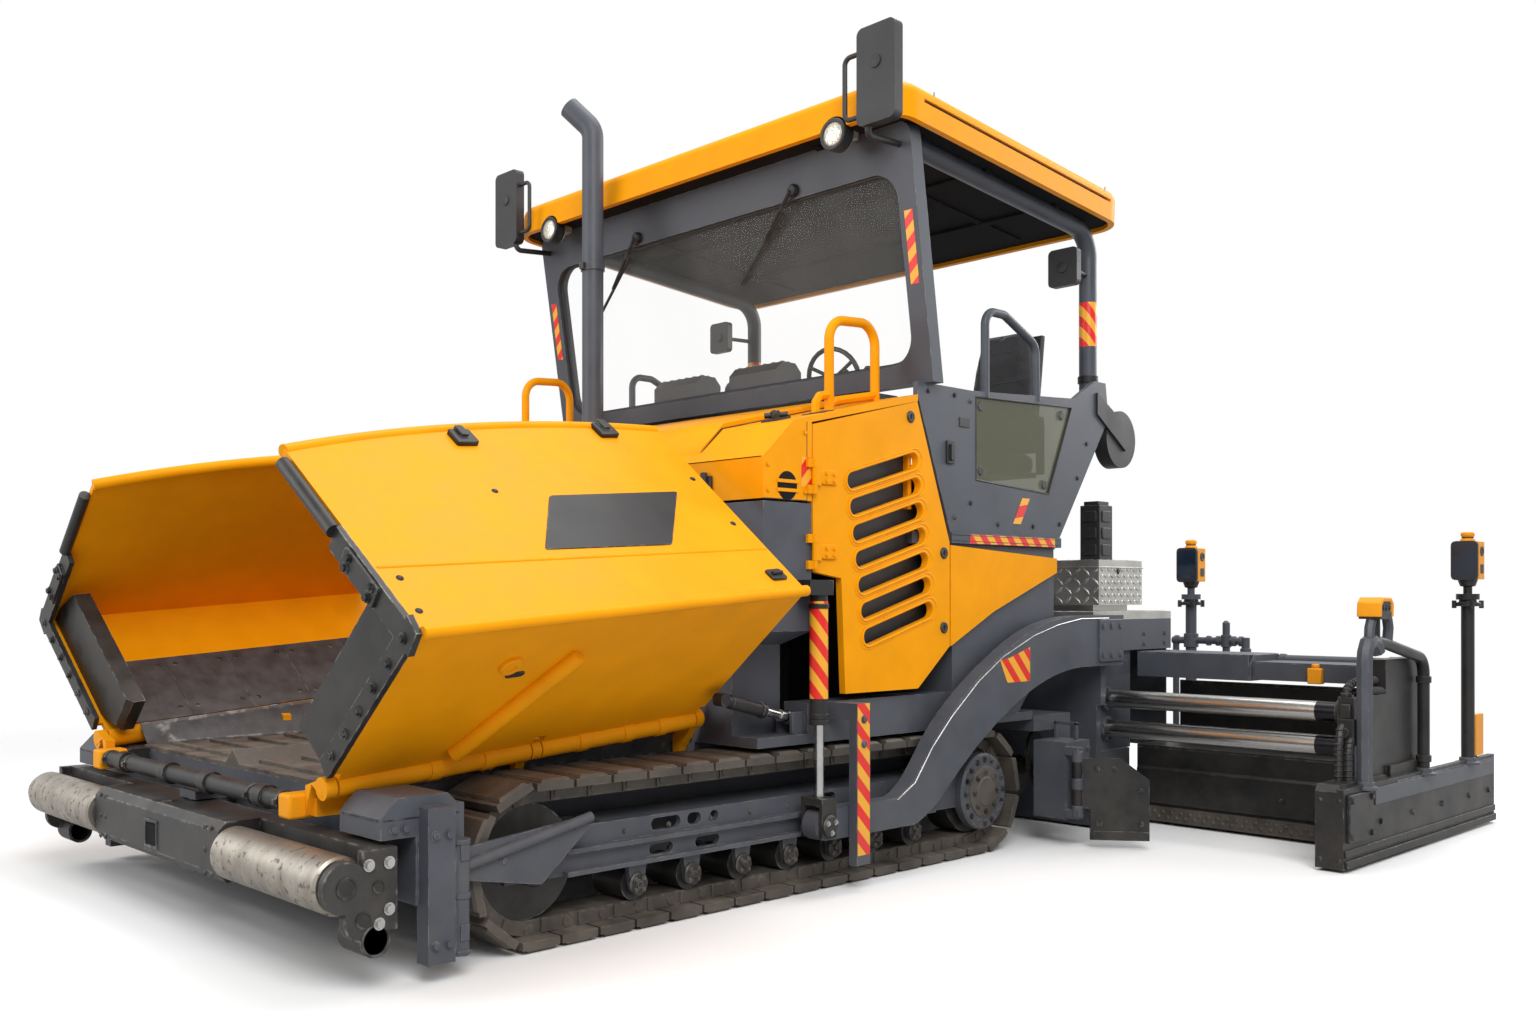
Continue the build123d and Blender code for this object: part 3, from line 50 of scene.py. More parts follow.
# Camera of the photograph
CAMERA_PLACE = (5.044, 4.805, 1.195)
CAMERA_YAW = 138.95          # turn of the view about Z
CAMERA_PITCH = 90.09
LENS = 31.22
SHIFT = (0.0997, 0.0543)

# Colours, linear
YELLOW = (0.90, 0.345, 0.003)
SLATE = (0.072, 0.079, 0.096)
BLACK = (0.017, 0.017, 0.018)
DUST = (0.23, 0.20, 0.16)
BARE_STEEL = (0.42, 0.41, 0.39)
AMBER = (0.88, 0.34, 0.010)


# Node helpers
def feed(tree, node, values):
    """The node, with its inputs set to values or linked to sockets."""
    for key, value in values.items():
        socket = node.inputs[key]
        if isinstance(value, bpy.types.NodeSocket):
            tree.links.new(value, socket)
        else:
            socket.default_value = value
    return node


def add_node(tree, kind, values=None, **settings):
    """New node with its settings and inputs."""
    made = tree.nodes.new(kind)
    for name, value in settings.items():
        setattr(made, name, value)
    return feed(tree, made, values or {})


def rgba(colour):
    return (*colour, 1.0)


def math_node(tree, operation, first, second=0.0, clamp=False):
    made = add_node(tree, "ShaderNodeMath", {0: first, 1: second}, operation=operation, use_clamp=clamp)
    return made.outputs[0]


def mix_colour(tree, factor, first, second):
    made = add_node(tree, "ShaderNodeMix", {0: factor, 6: first, 7: second}, data_type="RGBA")
    return made.outputs[2]


def map_range(tree, value, low, high, out_low=0.0, out_high=1.0):
    made = add_node(tree, "ShaderNodeMapRange", {0: value, 1: low, 2: high, 3: out_low, 4: out_high})
    return made.outputs[0]


def object_place(tree):
    return add_node(tree, "ShaderNodeTexCoord").outputs["Object"]


def noise(tree, place, scale, detail):
    return add_node(tree, "ShaderNodeTexNoise", {"Vector": place, "Scale": scale, "Detail": detail}).outputs[0]


def relief(tree, strength, distance, height):
    """Normal of a bump."""
    return add_node(tree, "ShaderNodeBump", {"Strength": strength, "Distance": distance, "Height": height}).outputs[0]


def shader_group(name, inputs, outputs):
    """Empty shader node group with named float sockets, and its two end nodes."""
    group = bpy.data.node_groups.new(name, "ShaderNodeTree")
    for socket, value in inputs.items():
        made = group.interface.new_socket(socket, in_out="INPUT", socket_type="NodeSocketFloat")
        made.default_value = value
    for socket in outputs:
        group.interface.new_socket(socket, in_out="OUTPUT", socket_type="NodeSocketFloat")
    return group, group.nodes.new("NodeGroupInput").outputs, group.nodes.new("NodeGroupOutput").inputs


# Effects that the finishes share
def surface_grain():
    """Cloudy and fine noise over the surface, for colour, roughness and bump."""
    group, given, wanted = shader_group("surface_grain", {"Scale": 6.0, "Fine Scale": 180.0}, ("Cloud", "Fine"))
    place = object_place(group)
    group.links.new(noise(group, place, given["Scale"], 6.0), wanted["Cloud"])
    group.links.new(noise(group, place, given["Fine Scale"], 3.0), wanted["Fine"])
    return group


def edge_wear():
    """Mask along outer edges, broken up by patches."""
    group, given, wanted = shader_group("edge_wear", {"Width": 0.008, "Amount": 0.5, "Patch Scale": 22.0}, ("Mask",))
    round_normal = add_node(group, "ShaderNodeBevel", {"Radius": given["Width"]}, samples=4).outputs[0]
    flat_normal = add_node(group, "ShaderNodeNewGeometry").outputs["Normal"]
    same = add_node(group, "ShaderNodeVectorMath", {0: round_normal, 1: flat_normal}, operation="DOT_PRODUCT")
    edge = map_range(group, same.outputs["Value"], 0.985, 0.86)
    patchy = map_range(group, noise(group, object_place(group), given["Patch Scale"], 5.0), 0.48, 0.62)
    mask = math_node(group, "MULTIPLY", math_node(group, "MULTIPLY", edge, patchy), given["Amount"], clamp=True)
    group.links.new(mask, wanted["Mask"])
    return group


def road_dust():
    """Mask of dust that thins out with height and lies on upward faces."""
    sockets = {"Top": 1.2, "Amount": 0.5, "Lying": 0.15, "Scale": 5.0}
    group, given, wanted = shader_group("road_dust", sockets, ("Mask",))
    place = object_place(group)
    height = add_node(group, "ShaderNodeSeparateXYZ", {0: place}).outputs["Z"]
    low = map_range(group, height, given["Top"], 0.0)
    cloud = add_node(group, "ShaderNodeTexNoise", {"Vector": place, "Scale": given["Scale"], "Detail": 8.0,
                                                   "Roughness": 0.65})
    patchy = map_range(group, cloud.outputs[0], 0.36, 0.72)
    splash = math_node(group, "MULTIPLY", math_node(group, "MULTIPLY", low, patchy), given["Amount"])
    normal = add_node(group, "ShaderNodeNewGeometry").outputs["Normal"]
    upward = map_range(group, add_node(group, "ShaderNodeSeparateXYZ", {0: normal}).outputs["Z"], 0.55, 0.95)
    lying = math_node(group, "MULTIPLY", math_node(group, "MULTIPLY", upward, patchy), given["Lying"])
    group.links.new(math_node(group, "ADD", splash, lying, clamp=True), wanted["Mask"])
    return group


GRAIN = surface_grain()
WEAR = edge_wear()
ROAD_DUST = road_dust()


def use_group(tree, group, **values):
    made = tree.nodes.new("ShaderNodeGroup")
    made.node_tree = group
    for name, value in values.items():
        made.inputs[name.replace("_", " ").title()].default_value = value
    return made.outputs


# Finishes
FINISH = {}                  # materials by name


def new_material(name):
    """Node tree of a new finish, and its Principled shader."""
    made = bpy.data.materials.new(name)
    made.use_nodes = True
    FINISH[name] = made
    return made.node_tree, made.node_tree.nodes["Principled BSDF"]


def coated(name, colour, roughness=0.4, metallic=0.0, coat=0.0, shine=0.5, worn_to=BARE_STEEL, wear=0.4,
           wear_width=0.008, dust_top=1.2, dust=0.4, lying=0.1, vary=0.12, bump=0.05, grain=6.0, fine=180.0):
    """Surface with cloudy colour, worn edges, road dust and a fine bump."""
    tree, shader = new_material(name)
    cloud, small = use_group(tree, GRAIN, scale=grain, fine_scale=fine)
    dark = tuple(channel * (1 - vary) for channel in colour)
    light = tuple(min(channel * (1 + vary), 1.0) for channel in colour)
    tint = mix_colour(tree, map_range(tree, cloud, 0.3, 0.7), rgba(dark), rgba(light))
    worn = use_group(tree, WEAR, width=wear_width, amount=wear)[0]
    tint = mix_colour(tree, worn, tint, rgba(worn_to))
    dusty = use_group(tree, ROAD_DUST, top=dust_top, amount=dust, lying=lying)[0]
    tint = mix_colour(tree, dusty, tint, rgba(DUST))
    rough = map_range(tree, cloud, 0.25, 0.75, roughness - 0.07, roughness + 0.09)
    rough = math_node(tree, "ADD", rough, math_node(tree, "MULTIPLY", dusty, 0.35), clamp=True)
    feed(tree, shader, {"Base Color": tint, "Roughness": rough, "Metallic": metallic, "Specular IOR Level": shine,
                        "Coat Weight": coat, "Coat Roughness": 0.12, "Normal": relief(tree, bump, 0.002, small)})


def glass(name, colour, alpha, roughness):
    """Thin pane, tinted by its own colour and faintly smeared."""
    tree, shader = new_material(name)
    cloud, _ = use_group(tree, GRAIN, scale=3.0)
    smeared = tuple(min(1.0, channel * 1.35) for channel in colour)
    tint = mix_colour(tree, map_range(tree, cloud, 0.45, 0.75), rgba(colour), rgba(smeared))
    rough = map_range(tree, cloud, 0.4, 0.8, roughness, roughness + 0.12)
    feed(tree, shader, {"Base Color": tint, "Roughness": rough, "Alpha": alpha, "IOR": 1.5})


def hazard_bands(name, x_share, y_share, pitch=0.11):
    """Red bands on amber film, slanted by their shares of X and Y."""
    tree, shader = new_material(name)
    place = object_place(tree)
    parts = add_node(tree, "ShaderNodeSeparateXYZ", {0: place}).outputs
    across = math_node(tree, "ADD", math_node(tree, "MULTIPLY", parts["X"], x_share),
                       math_node(tree, "MULTIPLY", parts["Y"], y_share))
    along = math_node(tree, "ADD", parts["Z"], across)
    share = math_node(tree, "FRACT", math_node(tree, "DIVIDE", along, pitch))
    band = math_node(tree, "GREATER_THAN", share, 0.5)
    tint = mix_colour(tree, band, rgba((0.90, 0.42, 0.02)), rgba((0.78, 0.012, 0.008)))
    dusty = use_group(tree, ROAD_DUST, top=1.2, amount=0.25)[0]
    cells = add_node(tree, "ShaderNodeTexVoronoi", {"Vector": place, "Scale": 420.0}).outputs[0]
    feed(tree, shader, {"Base Color": mix_colour(tree, dusty, tint, rgba(DUST)), "Roughness": 0.35,
                        "Normal": relief(tree, 0.15, 0.001, cells)})


def drawn_steel(name, colour, stretch, roughness, specks=0.0, dark_from=None):
    """Bare metal with streaks, stretched along its working direction, specks of dirt and dark ends beyond a Y."""
    tree, shader = new_material(name)
    place = object_place(tree)
    pulled = add_node(tree, "ShaderNodeMapping", {"Vector": place, "Scale": stretch}).outputs[0]
    streak = noise(tree, pulled, 1.0, 5.0)
    dark = tuple(channel * 0.7 for channel in colour)
    tint = mix_colour(tree, map_range(tree, streak, 0.35, 0.65), rgba(dark), rgba(colour))
    cloud, small = use_group(tree, GRAIN, scale=34.0, fine_scale=240.0)
    dirt = math_node(tree, "MULTIPLY", map_range(tree, cloud, 0.57, 0.66), specks)
    tint = mix_colour(tree, dirt, tint, rgba((0.10, 0.08, 0.06)))
    if dark_from:
        across = math_node(tree, "ABSOLUTE", add_node(tree, "ShaderNodeSeparateXYZ", {0: place}).outputs[1])
        tint = mix_colour(tree, map_range(tree, across, dark_from, dark_from + 0.003), tint, rgba((0.03, 0.03, 0.034)))
    rough = map_range(tree, streak, 0.3, 0.7, roughness + 0.10, roughness - 0.05)
    rough = math_node(tree, "ADD", rough, math_node(tree, "MULTIPLY", dirt, 0.4), clamp=True)
    feed(tree, shader, {"Base Color": tint, "Roughness": rough, "Metallic": 1.0,
                        "Normal": relief(tree, 0.05, 0.002, small)})


def seat_cloth(name):
    """Dark woven cover with a fine rib."""
    tree, shader = new_material(name)
    place = object_place(tree)
    rib = add_node(tree, "ShaderNodeTexWave", {"Vector": place, "Scale": 70.0, "Distortion": 0.4}, bands_direction="Y")
    cloud, small = use_group(tree, GRAIN, scale=9.0, fine_scale=420.0)
    tint = mix_colour(tree, map_range(tree, cloud, 0.3, 0.7), rgba((0.010, 0.010, 0.012)), rgba((0.026, 0.026, 0.03)))
    height = math_node(tree, "ADD", math_node(tree, "MULTIPLY", rib.outputs[1], 0.5), small)
    feed(tree, shader, {"Base Color": tint, "Roughness": 0.8, "Sheen Weight": 0.3,
                        "Normal": relief(tree, 0.35, 0.002, height)})


def lamp_glass(name):
    """Pale lens with fine ribs over its reflector."""
    tree, shader = new_material(name)
    place = object_place(tree)
    cells = add_node(tree, "ShaderNodeTexVoronoi", {"Vector": place, "Scale": 90.0}).outputs[0]
    tint = mix_colour(tree, cells, rgba((0.92, 0.88, 0.74)), rgba((0.55, 0.50, 0.40)))
    feed(tree, shader, {"Base Color": tint, "Roughness": 0.08, "Metallic": 0.5,
                        "Normal": relief(tree, 0.6, 0.003, cells)})


coated("yellow_paint", YELLOW, 0.38, shine=0.08, worn_to=(0.30, 0.12, 0.02), wear=0.35, wear_width=0.005,
       dust_top=0.7, dust=0.3, lying=0.03, vary=0.05, bump=0.04)
coated("slate_paint", SLATE, 0.44, coat=0.03, shine=0.28, wear=0.45, wear_width=0.006, dust=0.22, lying=0.05,
       vary=0.14)
coated("black_paint", BLACK, 0.44, coat=0.03, shine=0.28, wear=0.4, dust=0.2, lying=0.05, vary=0.2)
coated("worn_steel", (0.040, 0.039, 0.038), 0.46, metallic=0.6, wear=0.7, dust=0.15, vary=0.35, bump=0.2,
       grain=9.0, fine=60.0)
coated("bright_steel", (0.48, 0.48, 0.47), 0.24, metallic=1.0, worn_to=(0.7, 0.7, 0.68), wear=0.3, dust_top=0.5,
       dust=0.06, lying=0.05, vary=0.1, bump=0.04, grain=14.0)
coated("track_steel", (0.070, 0.060, 0.052), 0.55, metallic=0.35, worn_to=(0.22, 0.19, 0.16), wear=0.8,
       wear_width=0.009, dust=0.5, lying=0.35, vary=0.35, bump=0.35, fine=70.0)
coated("black_plastic", (0.016, 0.016, 0.018), 0.5, wear=0.15, worn_to=(0.09, 0.09, 0.09), dust=0.25, lying=0.12,
       vary=0.15, bump=0.25, fine=420.0)
seat_cloth("seat_cover")
glass("tinted_glass", (0.105, 0.108, 0.060), 0.72, 0.06)
glass("clear_glass", (0.72, 0.76, 0.74), 0.04, 0.03)
coated("chequer_plate", (0.46, 0.45, 0.42), 0.36, metallic=0.85, worn_to=(0.75, 0.74, 0.72), wear=0.5, dust=0.3,
       lying=0.25, vary=0.2, bump=0.12)
lamp_glass("lamp")
hazard_bands("hazard_film", -1, 1)
hazard_bands("hazard_film_turned", 1, -1)
hazard_bands("hazard_film_level", 0.15, 0)
coated("amber_plastic", AMBER, 0.42, shine=0.2, wear=0.2, worn_to=(0.45, 0.14, 0.01), dust=0.1, vary=0.08,
       bump=0.15, fine=420.0)
coated("wear_plate", (0.085, 0.086, 0.090), 0.5, metallic=0.45, wear=0.5, dust=0.1, lying=0.05, vary=0.3,
       bump=0.2, grain=14.0, fine=60.0)
coated("scraped_black", (0.032, 0.032, 0.033), 0.42, metallic=0.4, worn_to=(0.36, 0.35, 0.33), wear=0.9,
       wear_width=0.014, dust=0.25, lying=0.1, vary=0.45, bump=0.3, fine=60.0)
coated("matt_black", BLACK, 0.85, shine=0.05, wear=0.1, dust=0.1, vary=0.2)
drawn_steel("drawn_tube", (0.56, 0.55, 0.53), (60.0, 1.0, 60.0), 0.24, dark_from=2.290)
drawn_steel("scuffed_roller", (0.40, 0.365, 0.315), (9.0, 16.0, 9.0), 0.42, specks=0.7)
coated("dusty_floor", (0.085, 0.070, 0.058), 0.6, metallic=0.3, wear=0.4, dust=0.55, lying=0.3, vary=0.45,
       bump=0.4, grain=12.0, fine=40.0)
coated("dark_screen", (0.010, 0.022, 0.042), 0.10, wear=0.0, dust=0.1, vary=0.3, bump=0.01)
coated("mirror_glass", (0.62, 0.65, 0.66), 0.09, metallic=1.0, wear=0.0, dust=0.0, vary=0.04, bump=0.0)
coated("grey_keys", (0.20, 0.20, 0.21), 0.5, wear=0.3, dust=0.2, vary=0.1, bump=0.2, fine=420.0)


# Solids whose finish isn't that of their slot
NODE_FINISH = {
    "extension_tubes_left": "drawn_tube", "extension_tubes_right": "drawn_tube", "hopper_floor": "dusty_floor",
    "push_roller_left": "scuffed_roller", "push_roller_right": "scuffed_roller", "push_beam": "scraped_black",
    "roof_lining": "matt_black",
}


def dress_nodes():
    """Each solid gets the finish of its slot, or a finish of its own."""
    for row in frame["record"]["subparts"]:
        data = frame["nodes"][row["node"]].data
        data.materials.clear()
        data.materials.append(FINISH[NODE_FINISH.get(row["node"], row["material_slot"])])


# Mesh helpers: shapes are made on the machine's left side and mirrored
class Shape:
    """Mesh under construction: forms are added to it until it becomes a piece or a pair of twins."""

    def __init__(self):
        self.mesh = bmesh.new()

    def moved(self, verts, place):
        if place is not None:
            bmesh.ops.transform(self.mesh, matrix=place, verts=verts)
        return self

    def walls(self, lower, upper):
        """Faces between two rings of as many points."""
        for index in range(len(lower)):
            after = (index + 1) % len(lower)
            self.mesh.faces.new((lower[index], lower[after], upper[after], upper[index]))

    def block(self, x, y, z, place=None):
        """Box between pairs of limits."""
        verts = bmesh.ops.create_cube(self.mesh, size=1.0)["verts"]
        limits = [sorted(pair) for pair in (x, y, z)]
        for vert in verts:
            vert.co = [low + (high - low) * (share + 0.5) for (low, high), share in zip(limits, vert.co)]
        return self.moved(verts, place)

    def loft(self, first, second, place=None):
        """Closed form between two outlines in space."""
        rings = [[self.mesh.verts.new(point) for point in outline] for outline in (first, second)]
        for ring in rings:
            self.mesh.faces.new(ring)
        self.walls(*rings)
        return self.moved(rings[0] + rings[1], place)

    def prism(self, outline, low, high, place=None):
        """Plate with an outline of (a, b) points between two heights of its own frame."""
        return self.loft([(a, b, low) for a, b in outline], [(a, b, high) for a, b in outline], place)

    def rod(self, start, end, radius, sides=20, tip=None, place=None):
        """Round bar or cone between two points."""
        start, end = Vector(start), Vector(end)
        axis = end - start
        turn = axis.to_track_quat("Z", "Y").to_matrix().to_4x4()
        seat = Matrix.Translation((start + end) / 2) @ turn
        verts = bmesh.ops.create_cone(self.mesh, cap_ends=True, segments=sides, radius1=radius,
                                      radius2=radius if tip is None else tip, depth=axis.length, matrix=seat)["verts"]
        return self.moved(verts, place)

    def lathe(self, profile, place, sides=32):
        """Closed turned form: (radius, height) points about the Z axis of a place."""
        turns = even_turns(sides)
        rings = [[self.mesh.verts.new(place @ Vector(point)) for point in circle((0, 0), radius, turns, height)]
                 for radius, height in profile]
        for lower, upper in zip(rings, rings[1:]):
            self.walls(lower, upper)
        self.mesh.faces.new(rings[0][::-1])
        self.mesh.faces.new(rings[-1])
        return self

    def single(self, name, body, slot, **looks):
        """One piece of the shape as it is."""
        piece(shape_mesh([self.mesh]), name, body, slot, **looks)

    def pair(self, name, body, slot, **looks):
        """The left-hand shape and its twin: one piece each where their bodies differ, otherwise one for both."""
        twin = self.mesh.copy()
        bmesh.ops.scale(twin, vec=(1, -1, 1), verts=twin.verts)
        bmesh.ops.reverse_faces(twin, faces=twin.faces)
        if "SIDE" not in body:
            piece(shape_mesh([self.mesh, twin]), name, body, slot, **looks)
            return
        for shape, side in ((self.mesh, "left"), (twin, "right")):
            piece(shape_mesh([shape]), f"{name}_{side}", body.replace("SIDE", side), slot, **looks)


def offset(x, y, z=0):
    return Matrix.Translation((x, y, z))


def side_face(y):
    """Place of a side view: outline of (x, z), height along +Y."""
    return Matrix(((1, 0, 0, 0), (0, 0, 1, y), (0, 1, 0, 0), (0, 0, 0, 1)))


def front_face(x):
    """Place of a front view: outline of (y, z), height along +X."""
    return Matrix(((0, 0, 1, x), (1, 0, 0, 0), (0, 1, 0, 0), (0, 0, 0, 1)))


def back_face(x):
    """Place of a rear view: outline of (y, z), height along -X."""
    return Matrix(((0, 0, -1, x), (1, 0, 0, 0), (0, 1, 0, 0), (0, 0, 0, 1)))


def axes_place(origin, x_axis, y_axis):
    """Place from its origin and two directions at right angles."""
    x_axis, y_axis = Vector(x_axis).normalized(), Vector(y_axis).normalized()
    place = Matrix((x_axis, y_axis, x_axis.cross(y_axis))).transposed().to_4x4()
    place.translation = Vector(origin)
    return place


def rounded(corners, radius, steps=4):
    """Outline with its corners rounded."""
    made = []
    count = len(corners)
    for index in range(count):
        here = Vector(corners[index])
        before = (Vector(corners[index - 1]) - here)
        after = (Vector(corners[(index + 1) % count]) - here)
        reach = min(radius, before.length / 2.1, after.length / 2.1)
        start, end = here + before.normalized() * reach, here + after.normalized() * reach
        for step in range(steps + 1):
            share = step / steps
            made.append(tuple(start.lerp(here, share).lerp(here.lerp(end, share), share)))
    return made


def around(middle, half):
    """Limits on both sides of a middle."""
    return (middle - half, middle + half)


def rectangle(a, b):
    return [(a[0], b[0]), (a[1], b[0]), (a[1], b[1]), (a[0], b[1])]


def round_rectangle(a, b, radius, steps=4):
    return rounded(rectangle(a, b), radius, steps)


def slot_outline(length, width, steps=10):
    """Stadium about the origin."""
    reach = (length - width) / 2
    made = []
    for centre, first in ((reach, -90), (-reach, 90)):
        for step in range(steps + 1):
            turn = math.radians(first + 180 * step / steps)
            made.append((centre + width / 2 * math.cos(turn), width / 2 * math.sin(turn)))
    return made


def circle(centre, radius, turns, *height):
    """Points on a circle, each with the height where one is given."""
    return [(centre[0] + radius * math.cos(turn), centre[1] + radius * math.sin(turn), *height) for turn in turns]


def even_turns(count, first=0.0):
    return [first + 2 * math.pi * index / count for index in range(count)]


def grid(firsts, seconds, *height):
    """Points of all pairs of two lists, each with the height where one is given."""
    return [(first, second, *height) for first in firsts for second in seconds]


def band(inner, outer, low, high):
    """Profile of a turned ring."""
    return [(inner, low), (outer, low), (outer, high), (inner, high)]


def piece(mesh, name, body, slot, finish=None, bevel=0.0, smooth=35):
    """Object of a finished mesh, with its finish (that of its slot where none is given) and its body."""
    mesh.name = name
    mesh.materials.clear()
    mesh.materials.append(FINISH[finish or slot])
    mesh.polygons.foreach_set("use_smooth", [True] * len(mesh.polygons))
    mesh.set_sharp_from_angle(angle=math.radians(smooth))
    made = bpy.data.objects.new(name, mesh)
    scene.collection.objects.link(made)
    if bevel:
        edge = made.modifiers.new("edges", "BEVEL")
        edge.width = bevel
        edge.segments = 2
        edge.angle_limit = math.radians(40)
    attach(made, body)
    return made


def shape_mesh(shapes):
    """One mesh of several shapes, closed and facing outwards."""
    mesh = bpy.data.meshes.new("shape")
    whole = bmesh.new()
    for shape in shapes:
        bmesh.ops.remove_doubles(shape, verts=shape.verts, dist=1e-5)
        bmesh.ops.recalc_face_normals(shape, faces=shape.faces)
        shape.to_mesh(mesh)
        whole.from_mesh(mesh)
        shape.free()
    whole.to_mesh(mesh)
    whole.free()
    return mesh


# Geometry node trees for what repeats
def geometry_tree(name, inputs):
    """Tree with a geometry, named float inputs and a material, and its input and output ends."""
    tree = bpy.data.node_groups.new(name, "GeometryNodeTree")
    tree.is_modifier = True
    tree.interface.new_socket("Geometry", in_out="INPUT", socket_type="NodeSocketGeometry")
    for label, value in inputs.items():
        kind = "NodeSocketInt" if isinstance(value, int) else "NodeSocketFloat"
        tree.interface.new_socket(label, in_out="INPUT", socket_type=kind).default_value = value
    tree.interface.new_socket("Material", in_out="INPUT", socket_type="NodeSocketMaterial")
    tree.interface.new_socket("Geometry", in_out="OUTPUT", socket_type="NodeSocketGeometry")
    return tree, tree.nodes.new("NodeGroupInput").outputs, tree.nodes.new("NodeGroupOutput").inputs[0]


def tree_end(tree, geometry, material, wanted):
    """Realized instances with their material, at the tree's output."""
    plain = add_node(tree, "GeometryNodeRealizeInstances", {0: geometry})
    dressed = add_node(tree, "GeometryNodeSetMaterial", {"Geometry": plain.outputs[0], "Material": material})
    tree.links.new(dressed.outputs[0], wanted)


def joined(tree, *sockets):
    made = tree.nodes.new("GeometryNodeJoinGeometry")
    for socket in sockets:
        tree.links.new(socket, made.inputs[0])
    return made.outputs[0]


def set_on_points(tree, points, instance):
    """Instances on points, each standing along its point's facing and turned about it."""
    facing = add_node(tree, "GeometryNodeInputNamedAttribute", {"Name": "facing"}, data_type="FLOAT_VECTOR")
    turn = add_node(tree, "GeometryNodeInputNamedAttribute", {"Name": "turn"}, data_type="FLOAT")
    stand = add_node(tree, "FunctionNodeAlignRotationToVector", {"Vector": facing.outputs[0]}, axis="Z")
    spin = add_node(tree, "FunctionNodeAxisAngleToRotation", {"Axis": (0, 0, 1), "Angle": turn.outputs[0]})
    both = add_node(tree, "FunctionNodeRotateRotation", {0: stand.outputs[0], 1: spin.outputs[0]},
                    rotation_space="LOCAL")
    return add_node(tree, "GeometryNodeInstanceOnPoints",
                    {"Points": points, "Instance": instance, "Rotation": both.outputs[0]}).outputs[0]


def bolt_head_tree():
    """Hexagon heads on washers."""
    tree, given, wanted = geometry_tree("bolt_heads", {"Radius": 0.010, "Height": 0.008})
    washer_r = math_node(tree, "MULTIPLY", given["Radius"], 1.4)
    washer_h = math_node(tree, "MULTIPLY", given["Height"], 0.5)
    washer = add_node(tree, "GeometryNodeMeshCylinder", {"Vertices": 16, "Radius": washer_r, "Depth": washer_h})
    head = add_node(tree, "GeometryNodeMeshCylinder",
                    {"Vertices": 6, "Radius": given["Radius"], "Depth": given["Height"]})
    lift = add_node(tree, "ShaderNodeCombineXYZ", {"Z": math_node(tree, "MULTIPLY", given["Height"], 0.6)})
    raised = add_node(tree, "GeometryNodeTransform", {"Geometry": head.outputs[0], "Translation": lift.outputs[0]})
    bolts = set_on_points(tree, given["Geometry"], joined(tree, washer.outputs[0], raised.outputs[0]))
    tree_end(tree, bolts, given["Material"], wanted)
    return tree


def rivet_tree():
    """Low round heads."""
    tree, given, wanted = geometry_tree("round_heads", {"Radius": 0.010, "Height": 0.004})
    dome = add_node(tree, "GeometryNodeMeshUVSphere", {"Segments": 14, "Rings": 8, "Radius": given["Radius"]})
    flat = math_node(tree, "DIVIDE", given["Height"], given["Radius"])
    size = add_node(tree, "ShaderNodeCombineXYZ", {"X": 1.0, "Y": 1.0, "Z": flat})
    low = add_node(tree, "GeometryNodeTransform", {"Geometry": dome.outputs[0], "Scale": size.outputs[0]})
    tree_end(tree, set_on_points(tree, given["Geometry"], low.outputs[0]), given["Material"], wanted)
    return tree


def tread_tree():
    """Raised lozenges of diamond plate."""
    tree, given, wanted = geometry_tree("tread_lozenges", {"Length": 0.026, "Width": 0.008, "Height": 0.0025})
    stud = add_node(tree, "GeometryNodeMeshCone", {"Vertices": 6, "Radius Top": 0.35, "Radius Bottom": 1.0,
                                                    "Depth": 1.0}, fill_type="NGON")
    size = add_node(tree, "ShaderNodeCombineXYZ", {"X": math_node(tree, "MULTIPLY", given["Length"], 0.5),
                                                   "Y": math_node(tree, "MULTIPLY", given["Width"], 0.5),
                                                   "Z": given["Height"]})
    low = add_node(tree, "GeometryNodeTransform", {"Geometry": stud.outputs[0], "Scale": size.outputs[0]})
    tree_end(tree, set_on_points(tree, given["Geometry"], low.outputs[0]), given["Material"], wanted)
    return tree


def bead_tree():
    """Round bead along lines."""
    tree, given, wanted = geometry_tree("round_bead", {"Radius": 0.005, "Sides": 8})
    line = add_node(tree, "GeometryNodeMeshToCurve", {"Mesh": given["Geometry"]})
    ring = add_node(tree, "GeometryNodeCurvePrimitiveCircle", {"Resolution": given["Sides"],
                                                                "Radius": given["Radius"]})
    bead = add_node(tree, "GeometryNodeCurveToMesh", {"Curve": line.outputs[0], "Profile Curve": ring.outputs[0],
                                                       "Fill Caps": True})
    tree_end(tree, bead.outputs[0], given["Material"], wanted)
    return tree


